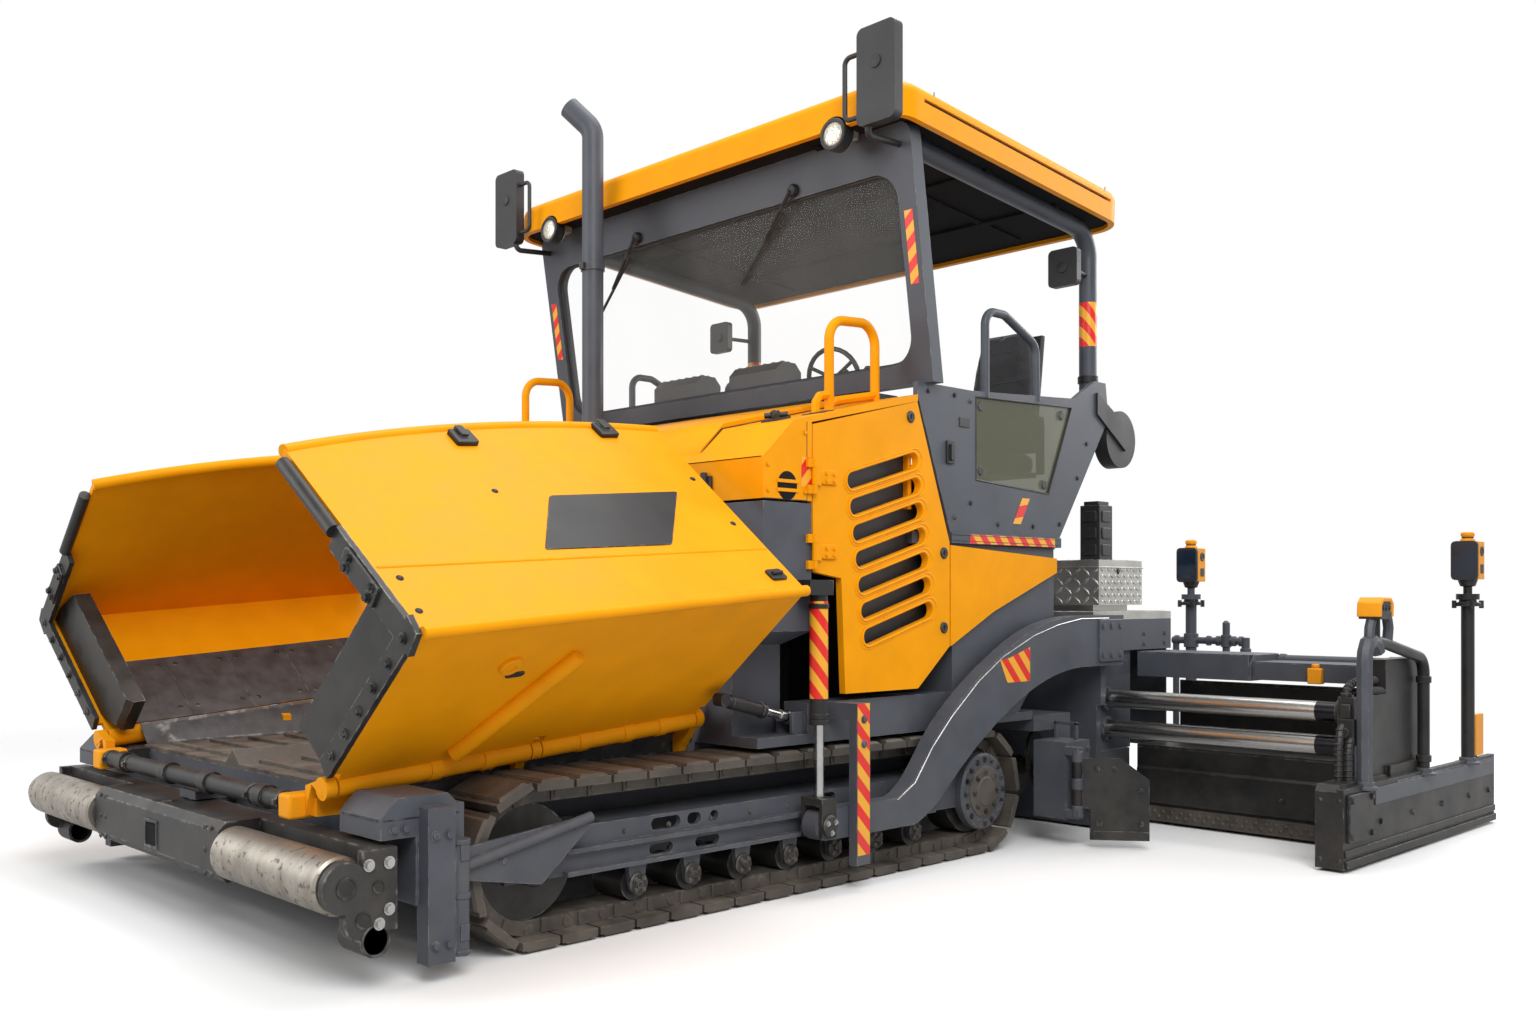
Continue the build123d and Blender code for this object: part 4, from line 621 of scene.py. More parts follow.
def link_tree():
    """Link plates and pins of a chain along a closed line in side view."""
    sizes = {"Count": 40, "Length": 0.16, "Height": 0.05, "Thickness": 0.014, "Pin": 0.016}
    tree, given, wanted = geometry_tree("chain_links", sizes)
    line = add_node(tree, "GeometryNodeMeshToCurve", {"Mesh": given["Geometry"]})
    spots = add_node(tree, "GeometryNodeResampleCurve", {"Curve": line.outputs[0], "Count": given["Count"]})
    tangent = add_node(tree, "GeometryNodeInputTangent")
    along = add_node(tree, "FunctionNodeAlignRotationToVector", {"Vector": tangent.outputs[0]}, axis="X",
                     pivot_axis="Y")
    size = add_node(tree, "ShaderNodeCombineXYZ", {"X": given["Length"], "Y": given["Thickness"],
                                                   "Z": given["Height"]})
    plate = add_node(tree, "GeometryNodeMeshCube", {"Size": size.outputs[0]})
    pin = add_node(tree, "GeometryNodeMeshCylinder", {"Vertices": 12, "Radius": given["Pin"],
                                                       "Depth": math_node(tree, "MULTIPLY", given["Thickness"], 2.2)})
    seat = add_node(tree, "ShaderNodeCombineXYZ", {"X": math_node(tree, "MULTIPLY", given["Length"], 0.3)})
    laid = add_node(tree, "GeometryNodeTransform", {"Geometry": pin.outputs[0], "Translation": seat.outputs[0],
                                                     "Rotation": (math.pi / 2, 0, 0)})
    links = add_node(tree, "GeometryNodeInstanceOnPoints",
                     {"Points": spots.outputs[0], "Instance": joined(tree, plate.outputs[0], laid.outputs[0]),
                      "Rotation": along.outputs[0]})
    tree_end(tree, links.outputs[0], given["Material"], wanted)
    return tree


BOLT_HEADS = bolt_head_tree()
ROUND_HEADS = rivet_tree()
TREAD = tread_tree()
ROUND_BEAD = bead_tree()
CHAIN_LINKS = link_tree()


def grown(tree, seed, name, body, slot, finish=None, smooth=35, **sizes):
    """Piece that a tree makes from a seed mesh, as a plain mesh on its body."""
    source = bpy.data.objects.new("seed", seed)
    scene.collection.objects.link(source)
    maker = source.modifiers.new("maker", "NODES")
    maker.node_group = tree
    given = {item.name: item.identifier for item in tree.interface.items_tree if item.in_out == "INPUT"}
    for label, value in sizes.items():
        maker[given[label.title()]] = value
    maker[given["Material"]] = FINISH[finish or slot]
    ready = source.evaluated_get(bpy.context.evaluated_depsgraph_get())
    mesh = bpy.data.meshes.new_from_object(ready)
    bpy.data.objects.remove(source)
    return piece(mesh, name, body, slot, finish=finish, smooth=smooth)


def point_seed(spots):
    """Mesh of points from (place, facing, turn) rows."""
    mesh = bpy.data.meshes.new("points")
    mesh.from_pydata([tuple(place) for place, _, _ in spots], [], [])
    facing = mesh.attributes.new("facing", "FLOAT_VECTOR", "POINT")
    facing.data.foreach_set("vector", [part for _, way, _ in spots for part in way])
    turn = mesh.attributes.new("turn", "FLOAT", "POINT")
    turn.data.foreach_set("value", [angle for _, _, angle in spots])
    return mesh


def line_seed(lines, closed=True):
    """Mesh of lines through points."""
    verts, edges = [], []
    for line in lines:
        first = len(verts)
        verts += [tuple(point) for point in line]
        edges += [(first + index, first + index + 1) for index in range(len(line) - 1)]
        if closed:
            edges.append((first + len(line) - 1, first))
    mesh = bpy.data.meshes.new("lines")
    mesh.from_pydata(verts, edges, [])
    return mesh


HEAD_TURN = 0.4
LOZENGE_TURN = 0.785


def flipped(point):
    return (point[0], -point[1], point[2])


def grown_sides(tree, seed, left, right, name, body, slot, sides, **sizes):
    """Grown pieces of left-hand rows and their twins: one each where their bodies differ, otherwise one for both."""
    if "SIDE" not in body:
        grown(tree, seed(left if sides == 1 else left + right), name, body, slot, **sizes)
        return
    for side, rows in (("left", left), ("right", right)):
        grown(tree, seed(rows), f"{name}_{side}", body.replace("SIDE", side), slot, **sizes)


def heads(tree, spots, name, body, slot, sides=2, **sizes):
    """Bolt or rivet heads at left-hand (place, facing) spots, and their twins."""
    rows = [(place, way, HEAD_TURN) for place, way in spots]
    twins = [(flipped(place), flipped(way), HEAD_TURN) for place, way in spots]
    grown_sides(tree, point_seed, rows, twins, name, body, slot, sides, **sizes)


def beads(lines, name, body, slot, radius, closed=True, sides=2, **looks):
    """Beads along left-hand lines, and their twins."""
    twins = [[flipped(point) for point in line] for line in lines]
    grown_sides(ROUND_BEAD, lambda rows: line_seed(rows, closed), lines, twins, name, body, slot, sides,
                radius=radius, **looks)


def placed(place, points):
    """Points of a place's own plane, (a, b) or (a, b, c), in the machine's frame."""
    return [place @ Vector((*point, 0)[:3]) for point in points]


def bolt_spots(place, points):
    """Spots on a place's plane, facing along its third axis."""
    facing = tuple((place.to_3x3() @ Vector((0, 0, 1))).normalized())
    return [(tuple(spot), facing) for spot in placed(place, points)]


def hex_heads(place, points, name, body, slot, radius, height):
    """Bolt heads at points of a place's plane."""
    heads(BOLT_HEADS, bolt_spots(place, points), name, body, slot, radius=radius, height=height)


def dome_heads(place, points, name, body, slot, radius, height, sides=2):
    """Round heads at points of a place's plane."""
    heads(ROUND_HEADS, bolt_spots(place, points), name, body, slot, sides, radius=radius, height=height)


def crossed(number):
    """Turn of a tread lozenge, crosswise to its neighbours."""
    return LOZENGE_TURN if number % 2 else -LOZENGE_TURN


# Faces and axes that carry several pieces
MIDDLE = side_face(0.0)
BULKHEAD_FACE = front_face(1.190)
BEAM_FACE = front_face(3.115)
BODY_FACE = side_face(1.262)
SIDE_FACE = side_face(1.252)
ARM_FACE = side_face(1.345)
POST_FACE = side_face(1.391)
END_FACE = side_face(2.528)
LEVELLER = offset(0.915, 1.310)
ROOF_POST = offset(-1.385, 1.183)
RAIL_Y = 2.520               # rail of the extension
FILM = (-0.001, 0.0012)      # heights of a striped film on its face


# Hopper wings: planes of the bent wall, with x to the rear outside and to the front inside
WING = offset(2.940, 0.985, 0.585) @ Matrix.Rotation(math.radians(4.4), 4, "Y")
FOLD = Vector((0, 0.622, 0.510))
UP = Vector((0, -0.788, 0.6157))
UP_IN = Vector((0, -0.6157, -0.788))
LOW_UP = Vector((0, 0.773, 0.634))
LOW_IN = Vector((0, -0.634, 0.773))
WALL_T = 0.024
UPPER_FACE = WING @ axes_place(FOLD, (-1, 0, 0), UP)
LOWER_FACE = WING @ axes_place((0, 0, 0), (-1, 0, 0), LOW_UP)
LOWER_INSIDE = WING @ axes_place(LOW_IN * WALL_T, (1, 0, 0), LOW_UP)
UPPER_FRONT = WING @ axes_place(FOLD + Vector((0.022, 0, 0)), -UP_IN, UP)
LOWER_FRONT = WING @ axes_place(Vector((0.022, 0, 0)), -LOW_IN, LOW_UP)


def dress_wings():
    """Blank plate, rim latches, rivets, crease, edge plate and wear plates of both wings."""
    panel = Shape()
    corners = [(0.664, 0.338), (1.226, 0.317), (1.508, 0.637), (0.883, 0.639)]
    panel.prism(rounded(corners, 0.018), -0.002, 0.0035, UPPER_FACE)
    panel.pair("wing_blank_plate", "wing_SIDE", "black_paint", bevel=0.001)

    latches = Shape()
    for x, y in ((0.728, 1.022), (1.444, 1.078)):
        latches.prism(round_rectangle(around(x, 0.046), (y - 0.062, y + 0.026), 0.012), -0.012, 0.019, UPPER_FACE)
        latches.prism(round_rectangle(around(x, 0.018), (y - 0.030, y + 0.034), 0.010), 0.010, 0.030, UPPER_FACE)
    notch = round_rectangle((1.535, 1.613), (0.070, 0.128), 0.012)
    latches.prism(notch, -0.002, 0.010, UPPER_FACE)
    latches.rod((1.548, 0.099, 0.014), (1.600, 0.099, 0.014), 0.008, 12, place=UPPER_FACE)
    latches.pair("wing_latches", "wing_SIDE", "black_paint", bevel=0.003)

    rivets = [(0.672, 0.679), (0.06, 0.252), (0.041, 0.097), (1.66, 0.72), (1.63, 0.42)]
    dome_heads(UPPER_FACE, rivets, "wing_rivets", "wing_SIDE", "black_paint", 0.013, 0.006)
    crease = placed(UPPER_FACE, [(0.012, 0.309, -0.002), (1.664, 0.256, -0.002)])
    beads([crease], "wing_crease", "wing_SIDE", "yellow_paint", 0.006, closed=False)

    boss = Shape().lathe([(0.040, -0.004), (0.040, 0.010), (0.034, 0.016), (0.018, 0.016), (0.016, 0.011)],
                         LOWER_FACE @ offset(0.426, 0.578))
    boss.pair("wing_boss", "wing_SIDE", "yellow_paint", smooth=30)
    slot = Shape().prism([(x + 0.475, y + 0.520) for x, y in slot_outline(0.075, 0.026)], -0.002, 0.004, LOWER_FACE)
    slot.pair("wing_slot", "wing_SIDE", "black_paint")

    plate = Shape().prism(round_rectangle((-0.080, -0.006), (0.215, 0.430), 0.012), -0.002, 0.012, UPPER_FRONT)
    plate.pair("wing_edge_plate", "wing_SIDE", "worn_steel", bevel=0.002)
    spots = grid((-0.062, -0.024), (0.250, 0.395), 0.013)
    edge_bolts = bolt_spots(UPPER_FRONT, spots)
    edge_bolts += bolt_spots(LOWER_FRONT, [(-0.035, 0.14 + 0.12 * index, 0.001) for index in range(6)])
    heads(BOLT_HEADS, edge_bolts, "wing_edge_bolts", "wing_SIDE", "black_paint", radius=0.013, height=0.011)

    wear = Shape()
    screws = []
    count, step = 5, 0.30
    for index in range(count):
        x = (-0.125 - index * step, -0.125 - (index + 1) * step + 0.001)
        wear.prism(rectangle(sorted(x), (0.036, 0.430)), -0.001, 0.008, LOWER_INSIDE)
        screws += grid((x[0] - 0.04, x[1] + 0.04), (0.095, 0.380), 0.008)
    wear.pair("wing_wear_plates", "wing_SIDE", "worn_steel", finish="wear_plate", bevel=0.001)
    dome_heads(LOWER_INSIDE, screws, "wing_wear_screws", "wing_SIDE", "worn_steel", 0.012, 0.003)

    clips = Shape()
    for x in (-0.40, -0.62, -1.05, -1.27, -1.45):
        ring = WING @ axes_place((x, 0, 0), (0, 1, 0), (0, 0, 1))
        clips.lathe(band(0.030, 0.0425, -0.024, 0.024), ring, 24)
    clips.pair("wing_hinge_bands", "wing_SIDE", "yellow_paint", bevel=0.002)


def dress_hopper():
    """Rear wall's sheet and wear plates, side skirts and the mouth tube's fittings."""
    sheet = Shape().prism(round_rectangle((-1.06, 1.06), (0.852, 1.560), 0.02), -0.001, 0.006, BULKHEAD_FACE)
    sheet.single("hopper_rear_sheet", "tractor", "yellow_paint", bevel=0.002)
    wear = Shape()
    edges = [-0.860, -0.435, 0.0, 0.435, 0.860]
    for low, high in zip(edges, edges[1:]):
        wear.prism(rectangle((low + 0.003, high - 0.003), (0.600, 0.846)), -0.001, 0.012, BULKHEAD_FACE)
    wear.single("hopper_wear_plates", "tractor", "worn_steel", finish="wear_plate", bevel=0.002)
    low, front, back = (0.852, 0.556), (0.935, 0.640), (0.935, 0.756)
    ends = [[(2.790, *low), (2.790, *front)], [(1.215, *low), (1.215, *back)]]
    rings = [[(x, y, z + lift) for (x, y, z), lift in zip(end + end[::-1], (0, 0, 0.007, 0.007))] for end in ends]
    Shape().loft(*rings).pair("hopper_side_skirts", "tractor", "worn_steel", finish="wear_plate")
    spots = [(side * y, z, 0.012) for side in (-1, 1) for y in (0.08, 0.355, 0.515, 0.780) for z in (0.645, 0.80)]
    dome_heads(BULKHEAD_FACE, spots, "hopper_wear_screws", "tractor", "track_steel", 0.016, 0.005, sides=1)
    border = [(side * y, z, 0.006) for side in (-1, 1) for y in (0.25, 0.55, 0.85, 1.0) for z in (0.885, 1.525)]
    dome_heads(BULKHEAD_FACE, border, "hopper_sheet_screws", "tractor", "yellow_paint", 0.011, 0.004, sides=1)

    covers = Shape().block((2.895, 3.016), (0.796, 0.878), (0.476, 0.557))
    covers.pair("mouth_tube_covers", "tractor", "yellow_paint", bevel=0.010)
    rings = Shape()
    for y in (0.548, 0.764):
        tube = axes_place((2.972, y, 0.522), (0, 0, 1), (1, 0, 0))
        rings.lathe(band(0.028, 0.037, -0.006, 0.006), tube, 28)
        rings.block((3.004, 3.018), around(y, 0.006), (0.512, 0.532))
    rings.pair("mouth_tube_clamps", "tractor", "worn_steel", bevel=0.0015)


def dress_push_beam():
    """Bolts, hitch frame of the push beam, dark discs and a plate of painted shade for its bore holes and hitch eye,
    and the rollers' end rings.
    """
    cheek = side_face(1.320)
    hex_heads(cheek, [(2.915, 0.395, 0.002), (2.985, 0.395, 0.002), (2.915, 0.255, 0.002), (2.950, 0.215, 0.002)],
              "push_beam_bolts", "push_beam", "bright_steel", 0.014, 0.012)
    # Dark discs of painted shade: they stand in for the dark inside of the bore holes, as the cheek face there is
    # solid.
    bore_shade = Shape()
    for x, z, radius in ((3.060, 0.335, 0.034), (3.003, 0.232, 0.026), (2.950, 0.325, 0.020)):
        bore_shade.lathe([(radius, -0.002), (radius, 0.004), (radius * 0.86, 0.004), (radius * 0.8, 0.0012)],
                    cheek @ offset(x, z), 28)
    bore_shade.pair("push_beam_bore_shade", "push_beam", "black_paint")
    frame_lines = Shape()
    for a, b in (((-0.056, 0.056), (0.372, 0.382)), ((-0.056, 0.056), (0.276, 0.286)),
                 ((-0.056, -0.046), (0.286, 0.372)), ((0.046, 0.056), (0.286, 0.372))):
        frame_lines.prism(rectangle(a, b), -0.002, 0.005, BEAM_FACE)
    frame_lines.single("push_beam_eye", "push_beam", "worn_steel", finish="scraped_black", bevel=0.002)
    # Flush dark plate of painted shade, standing in for the inside of the hitch eye.
    eye_shade = Shape().prism(rectangle((-0.046, 0.046), (0.286, 0.372)), -0.002, 0.001, BEAM_FACE)
    eye_shade.single("push_beam_eye_shade", "push_beam", "black_plastic", finish="matt_black")
    studs = grid((0.46, 0.51), (0.255, 0.335, 0.415))
    dome_heads(BEAM_FACE, studs, "push_beam_studs", "push_beam", "worn_steel", 0.011, 0.005)
    ends = Shape()
    for y, way in ((0.570, -1), (1.2855, 1)):
        seat = axes_place((3.060, y, 0.335), (0, 0, way), (1, 0, 0))
        ends.lathe([(0.066, -0.004), (0.066, 0.001), (0.060, 0.0035), (0.036, 0.0035), (0.034, -0.001)], seat, 36)
    ends.pair("push_roller_rings", "push_roller_SIDE", "worn_steel")
    lips = Shape()
    seat = axes_place((2.960, 1.3205, 0.165), (0, 0, 1), (1, 0, 0))
    lips.lathe([(0.0505, -0.004), (0.0505, 0.002), (0.0465, 0.004), (0.0432, 0.003), (0.0432, -0.004)], seat, 36)
    lips.pair("tie_down_lips", "push_beam", "worn_steel")


def dress_crossbeam():
    """Bolts and seams on the corner blocks, posts and track guards."""
    spots = bolt_spots(side_face(1.290), [(2.70, 0.50), (2.76, 0.50), (2.84, 0.485), (2.88, 0.485)])
    spots += bolt_spots(side_face(1.345), [(2.715, 0.12), (2.765, 0.12), (2.715, 0.46), (2.765, 0.46)])
    heads(BOLT_HEADS, spots, "crossbeam_bolts", "tractor", "slate_paint", radius=0.012, height=0.010)
    caps = Shape()
    for z in (0.072, 0.250, 0.420):
        caps.rod((2.655, 1.318, z), (2.655, 1.318, z + 0.016), 0.034, 24)
    for z in (0.12, 0.37):
        caps.block((2.640, 2.672), (1.340, 1.351), (z, z + 0.05))
    caps.pair("hinge_tube_caps", "tractor", "slate_paint", bevel=0.002)
    seams = Shape().block((2.926, 2.9275), (1.060, 1.275), (0.512, 0.516))
    seams.block((2.640, 2.915), (1.2885, 1.2915), (0.512, 0.516))
    seams.pair("corner_block_seams", "tractor", "black_paint")
    guard = [(2.60, 0.345), (2.46, 0.335), (2.24, 0.405), (2.155, 0.412)]
    hex_heads(side_face(1.282), guard, "track_guard_bolts", "tractor", "slate_paint", 0.010, 0.008)


# Tracks
AXLES = (-0.345, 2.275)
AXLE_Z = 0.290
FRAME_FACE = 1.2005
ROLLER_Z = 0.1525


def track_line(radius, y, steps=18):
    """Closed line round both axles in side view."""
    made = []
    for axle, first in ((AXLES[1], 90), (AXLES[0], 270)):
        for step in range(steps + 1):
            turn = math.radians(first - 180 * step / steps)
            made.append((axle + radius * math.cos(turn), y, AXLE_Z + radius * math.sin(turn)))
    return made


def dress_tracks():
    """Link plates, roller discs and the drive's bolted covers."""
    lines = [track_line(0.226, y) for y in (1.1750, 1.0200)]
    for side, way in (("left", 1), ("right", -1)):
        seed = line_seed([[(x, way * y, z) for x, y, z in line] for line in lines])
        grown(CHAIN_LINKS, seed, f"track_links_{side}", "tractor", "track_steel", count=40, length=0.138,
              height=0.046, thickness=0.006, pin=0.017)
    discs = Shape()
    bolts = []
    face = side_face(FRAME_FACE)
    for index in range(7):
        x = AXLES[0] + 0.480 + index * (AXLES[1] - AXLES[0] - 0.960) / 6
        discs.lathe([(0.044, -0.002), (0.044, 0.006), (0.039, 0.010), (0.016, 0.010), (0.013, 0.016), (0.004, 0.016)],
                    face @ offset(x, ROLLER_Z), 28)
        bolts += circle((x, ROLLER_Z), 0.029, (0.785, 2.356, 3.927, 5.498), 0.011)
    discs.lathe([(0.080, -0.002), (0.080, 0.012), (0.072, 0.020), (0.030, 0.020), (0.024, 0.028), (0.006, 0.028)],
                face @ offset(AXLES[1], AXLE_Z), 36)
    bolts += circle((AXLES[1], AXLE_Z), 0.055, even_turns(6), 0.021)
    discs.pair("track_roller_discs", "tractor", "worn_steel", smooth=30)
    cover = side_face(1.2455) @ offset(AXLES[0], AXLE_Z)
    drive = Shape().lathe([(0.120, -0.002), (0.120, 0.004), (0.112, 0.008), (0.070, 0.008), (0.064, 0.013),
                           (0.010, 0.013)], cover, 48)
    drive.pair("final_drive_caps", "tractor", "track_steel", smooth=30)
    ring = circle((0, 0), 0.148, even_turns(16), 0.001) + circle((0, 0), 0.092, even_turns(8), 0.009)
    hex_heads(cover, ring, "final_drive_bolts", "tractor", "worn_steel", 0.010, 0.008)
    ribs = [(0.10 + 0.22 * index, 0.352) for index in range(10)]
    hex_heads(face, bolts + ribs, "track_frame_bolts", "tractor", "track_steel", 0.007, 0.006)


# Hood and doors
LOUVRES = [(0.436 - 0.018 * index, 1.738 - 0.109 * index) for index in range(7)]


def louvre_outline(centre, length, width, shift=0.0):
    """Slanted stadium of one louvre in side view."""
    turn = math.radians(-15)
    return [(centre[0] + (x + shift) * math.cos(turn) - y * math.sin(turn),
             centre[1] + (x + shift) * math.sin(turn) + y * math.cos(turn)) for x, y in slot_outline(length, width)]


def dress_doors():
    """Pressed louvre rims, inner plate, locks and hinge leaves of the engine doors."""
    rims = [placed(BODY_FACE, louvre_outline(centre, 0.512, 0.082)) for centre in LOUVRES]
    beads(rims, "door_louvre_rims", "engine_door_SIDE", "yellow_paint", 0.006)
    steps = [placed(BODY_FACE, [(*point, -0.0015) for point in louvre_outline(centre, 0.556, 0.100, -0.006)])
             for centre in LOUVRES]
    beads(steps, "door_louvre_steps", "engine_door_SIDE", "yellow_paint", 0.0045)

    inner = Shape()
    outline = [(0.835, 1.32), (0.835, 1.86), (0.235, 1.99), (0.025, 1.46), (0.025, 1.01), (0.235, 0.86),
               (0.640, 0.86), (0.665, 1.30)]
    inner.prism(outline, -0.066, -0.062, BODY_FACE)
    for x, z in ((0.80, 1.40), (0.80, 1.82), (0.10, 1.45), (0.07, 1.05), (0.60, 0.90)):
        inner.rod((x, 1.199, z), (x, 1.2325, z), 0.012, 12)
    inner.pair("door_inner_plate", "engine_door_SIDE", "black_plastic", bevel=0.001)

    locks = Shape()
    for x, z in ((0.000, 1.395), (0.000, 1.060), (0.245, 1.985)):
        place = BODY_FACE @ offset(x, z)
        locks.lathe([(0.026, -0.002), (0.026, 0.004), (0.022, 0.008), (0.012, 0.008), (0.010, 0.005)], place, 28)
        locks.prism(rectangle((-0.003, 0.003), (-0.009, 0.009)), 0.004, 0.0095, place)
    locks.pair("door_locks", "engine_door_SIDE", "black_plastic")
    tabs = Shape()
    for z in ((1.352, 1.412), (1.657, 1.717)):
        tabs.prism(round_rectangle((0.752, 0.850), z, 0.014), -0.001, 0.010, BODY_FACE)
    tabs.pair("door_hinge_leaves", "engine_door_SIDE", "yellow_paint", bevel=0.003)
    leaf_bolts = [(x, z + rise, 0.010) for x in (0.775, 0.822) for z in (1.382, 1.687) for rise in (-0.014, 0.014)]
    hex_heads(BODY_FACE, leaf_bolts, "door_hinge_bolts", "engine_door_SIDE", "yellow_paint", 0.007, 0.006)


def dress_hood():
    """Round vents, raised centre, catches, lifting loops, seams, latches and exhaust flange of the hood."""
    vents = Shape()
    place = BODY_FACE @ offset(1.050, 1.640)
    vents.lathe([(0.058, -0.002), (0.058, 0.001), (0.055, 0.002), (0.004, 0.002)], place, 36)
    vents.pair("hood_vent_discs", "tractor", "black_plastic", finish="matt_black", smooth=30)
    slots = Shape()
    for rise in (-0.018, 0.018):
        slots.prism(rectangle((-0.062, 0.062), around(rise, 0.007)), -0.001, 0.006, place)
    slots.pair("hood_vent_slats", "tractor", "yellow_paint", bevel=0.001)
    crown = Shape()
    ridge = [(1.150, 1.780), (1.012, 1.904), (0.196, 2.088), (0.196, 2.118), (1.000, 1.936), (1.128, 1.822)]
    crown.prism(ridge, -0.860, 0.860, MIDDLE)
    crown.single("hood_centre_panel", "tractor", "yellow_paint", bevel=0.006)
    joints = Shape()
    for y in (-0.863, 0.863):
        joints.prism([(1.150, 1.779), (1.010, 1.906), (0.192, 2.0905), (0.192, 2.0935), (1.012, 1.909),
                      (1.153, 1.781)], *around(y, 0.004), MIDDLE)
    joints.single("hood_centre_joints", "tractor", "black_paint")
    slope = axes_place((0.800, 0, 1.9524), (-0.9755, 0, 0.2201), (0, -1, 0))
    catch = Shape().prism(round_rectangle((-0.110, -0.010), (-1.075, -0.985), 0.012), -0.001, 0.010, slope)
    catch.rod((-0.100, -1.070, 0.020), (-0.015, -0.985, 0.030), 0.014, 12, place=slope)
    catch.rod((-0.020, -1.065, 0.018), (-0.090, -0.995, 0.026), 0.012, 12, place=slope)
    catch.rod((-0.060, -1.030, 0.002), (-0.060, -1.030, 0.040), 0.020, 16, place=slope)
    for along in (0.075, 0.125):
        catch.prism(round_rectangle(around(along, 0.008), (-1.190, -1.060), 0.006), -0.001, 0.004, slope)
    catch.pair("hood_catches", "tractor", "black_plastic", bevel=0.002)
    bars = [[(0.575, 1.080, 2.026), (0.540, 1.080, 2.046), (0.300, 1.080, 2.090), (0.260, 1.080, 2.098)]]
    bars.append([(0.665, 1.080, 1.980), (0.662, 1.080, 2.030), (0.640, 1.080, 2.058), (0.575, 1.080, 2.070)])
    beads(bars, "lifting_loop_bars", "tractor", "yellow_paint", 0.019, closed=False)
    seams = Shape().prism(rectangle((1.1885, 1.1915), (-1.25, 1.25)), 0, 0.003, offset(0, 0, 1.7475))
    seams.block((0.930, 1.190), (1.2615, 1.2630), (1.584, 1.587))
    seams.block((0.930, 0.933), (1.2615, 1.2630), (1.587, 1.905))
    seams.pair("hood_seams", "tractor", "black_paint")
    latch = Shape()
    for y in (0.35, 0.95):
        latch.prism(round_rectangle(around(y, 0.035), (1.600, 1.690), 0.010), -0.001, 0.012, BULKHEAD_FACE)
        latch.prism(round_rectangle(around(y, 0.015), (1.612, 1.705), 0.008), 0.010, 0.024, BULKHEAD_FACE)
    latch.pair("hood_latches", "tractor", "black_plastic", bevel=0.002)
    flange = Shape().lathe(band(0.060, 0.078, -0.004, 0.010), offset(0.560, -0.520, 2.030), 36)
    flange.block((0.615, 0.640), (-0.535, -0.505), (2.900, 2.935))
    flange.single("exhaust_clamp_lug", "tractor", "worn_steel", bevel=0.002)
    hex_heads(BODY_FACE, [(0.945, 1.62), (1.165, 1.62), (1.165, 1.72), (0.945, 1.86)], "hood_bolts", "tractor",
              "yellow_paint", 0.009, 0.006)


# Platform, roof and screen
SCREEN = offset(0.085, 0, 2.150) @ Matrix.Rotation(math.radians(9), 4, "Y")
SCREEN_FRONT = SCREEN @ front_face(0.0375)
ROOF = offset(0.457, 0, 3.342) @ Matrix.Rotation(math.radians(-4.6), 4, "Y") @ offset(-0.965, 0)


def dress_platform():
    """Pane fasteners and gaskets, latches, screws, edge seams, floor tread and rear rungs of the platform."""
    studs = Shape()
    for x, z in ((-0.315, 2.085), (-1.020, 2.105), (-0.860, 1.750), (-0.315, 1.785)):
        place = SIDE_FACE @ offset(x, z, -0.020)
        studs.lathe([(0.024, -0.004), (0.024, 0.012), (0.019, 0.017), (0.008, 0.017)], place, 24)
    studs.pair("pane_fasteners", "tractor", "black_plastic", smooth=30)
    gasket = placed(SIDE_FACE, [(-0.268, 2.126, -0.004), (-1.104, 2.151, -0.004), (-0.891, 1.705, -0.004),
                                (-0.268, 1.740, -0.004)])
    beads([gasket], "pane_gaskets", "tractor", "black_plastic", 0.007)
    latch = Shape().prism(round_rectangle((-0.090, -0.030), (1.800, 1.905), 0.010), -0.001, 0.010, SIDE_FACE)
    latch.prism(round_rectangle((-0.074, -0.046), (1.815, 1.890), 0.008), 0.008, 0.022, SIDE_FACE)
    latch.prism(round_rectangle((-0.215, -0.135), (1.975, 2.020), 0.006), -0.001, 0.004, SIDE_FACE)
    latch.pair("platform_latches", "tractor", "black_plastic", bevel=0.002)
    screws = [(-0.10, 2.115), (0.10, 2.115), (-0.225, 2.10), (-0.225, 1.63), (-0.10, 1.56), (-0.45, 1.54),
              (-0.75, 1.54), (-0.99, 1.56), (-1.16, 1.80), (-1.25, 1.98)]
    hex_heads(SIDE_FACE, screws, "platform_screws", "tractor", "black_paint", 0.009, 0.006)
    edge = Shape().block((-0.985, -0.068), (1.262, 1.2635), (1.452, 1.455))
    edge.block((-0.985, -0.068), (1.262, 1.2635), (1.478, 1.481))
    edge.pair("platform_edge_seams", "tractor", "black_paint")
    tread = []
    for row in range(18):
        for column in range(30):
            place = (-0.955 + 0.033 * column, -0.62 + 0.072 * row, 1.4905)
            tread.append((place, (0, 0, 1), crossed(row + column)))
    grown(TREAD, point_seed(tread), "platform_tread", "tractor", "slate_paint", length=0.034, width=0.010,
          height=0.003)
    steps = Shape()
    for z in (1.02, 1.24):
        steps.rod((-0.985, 0.30, z), (-1.040, 0.30, z), 0.012, 12)
        steps.rod((-0.985, 0.70, z), (-1.040, 0.70, z), 0.012, 12)
        steps.rod((-1.040, 0.288, z), (-1.040, 0.712, z), 0.014, 12)
    steps.pair("rear_rungs", "tractor", "slate_paint")


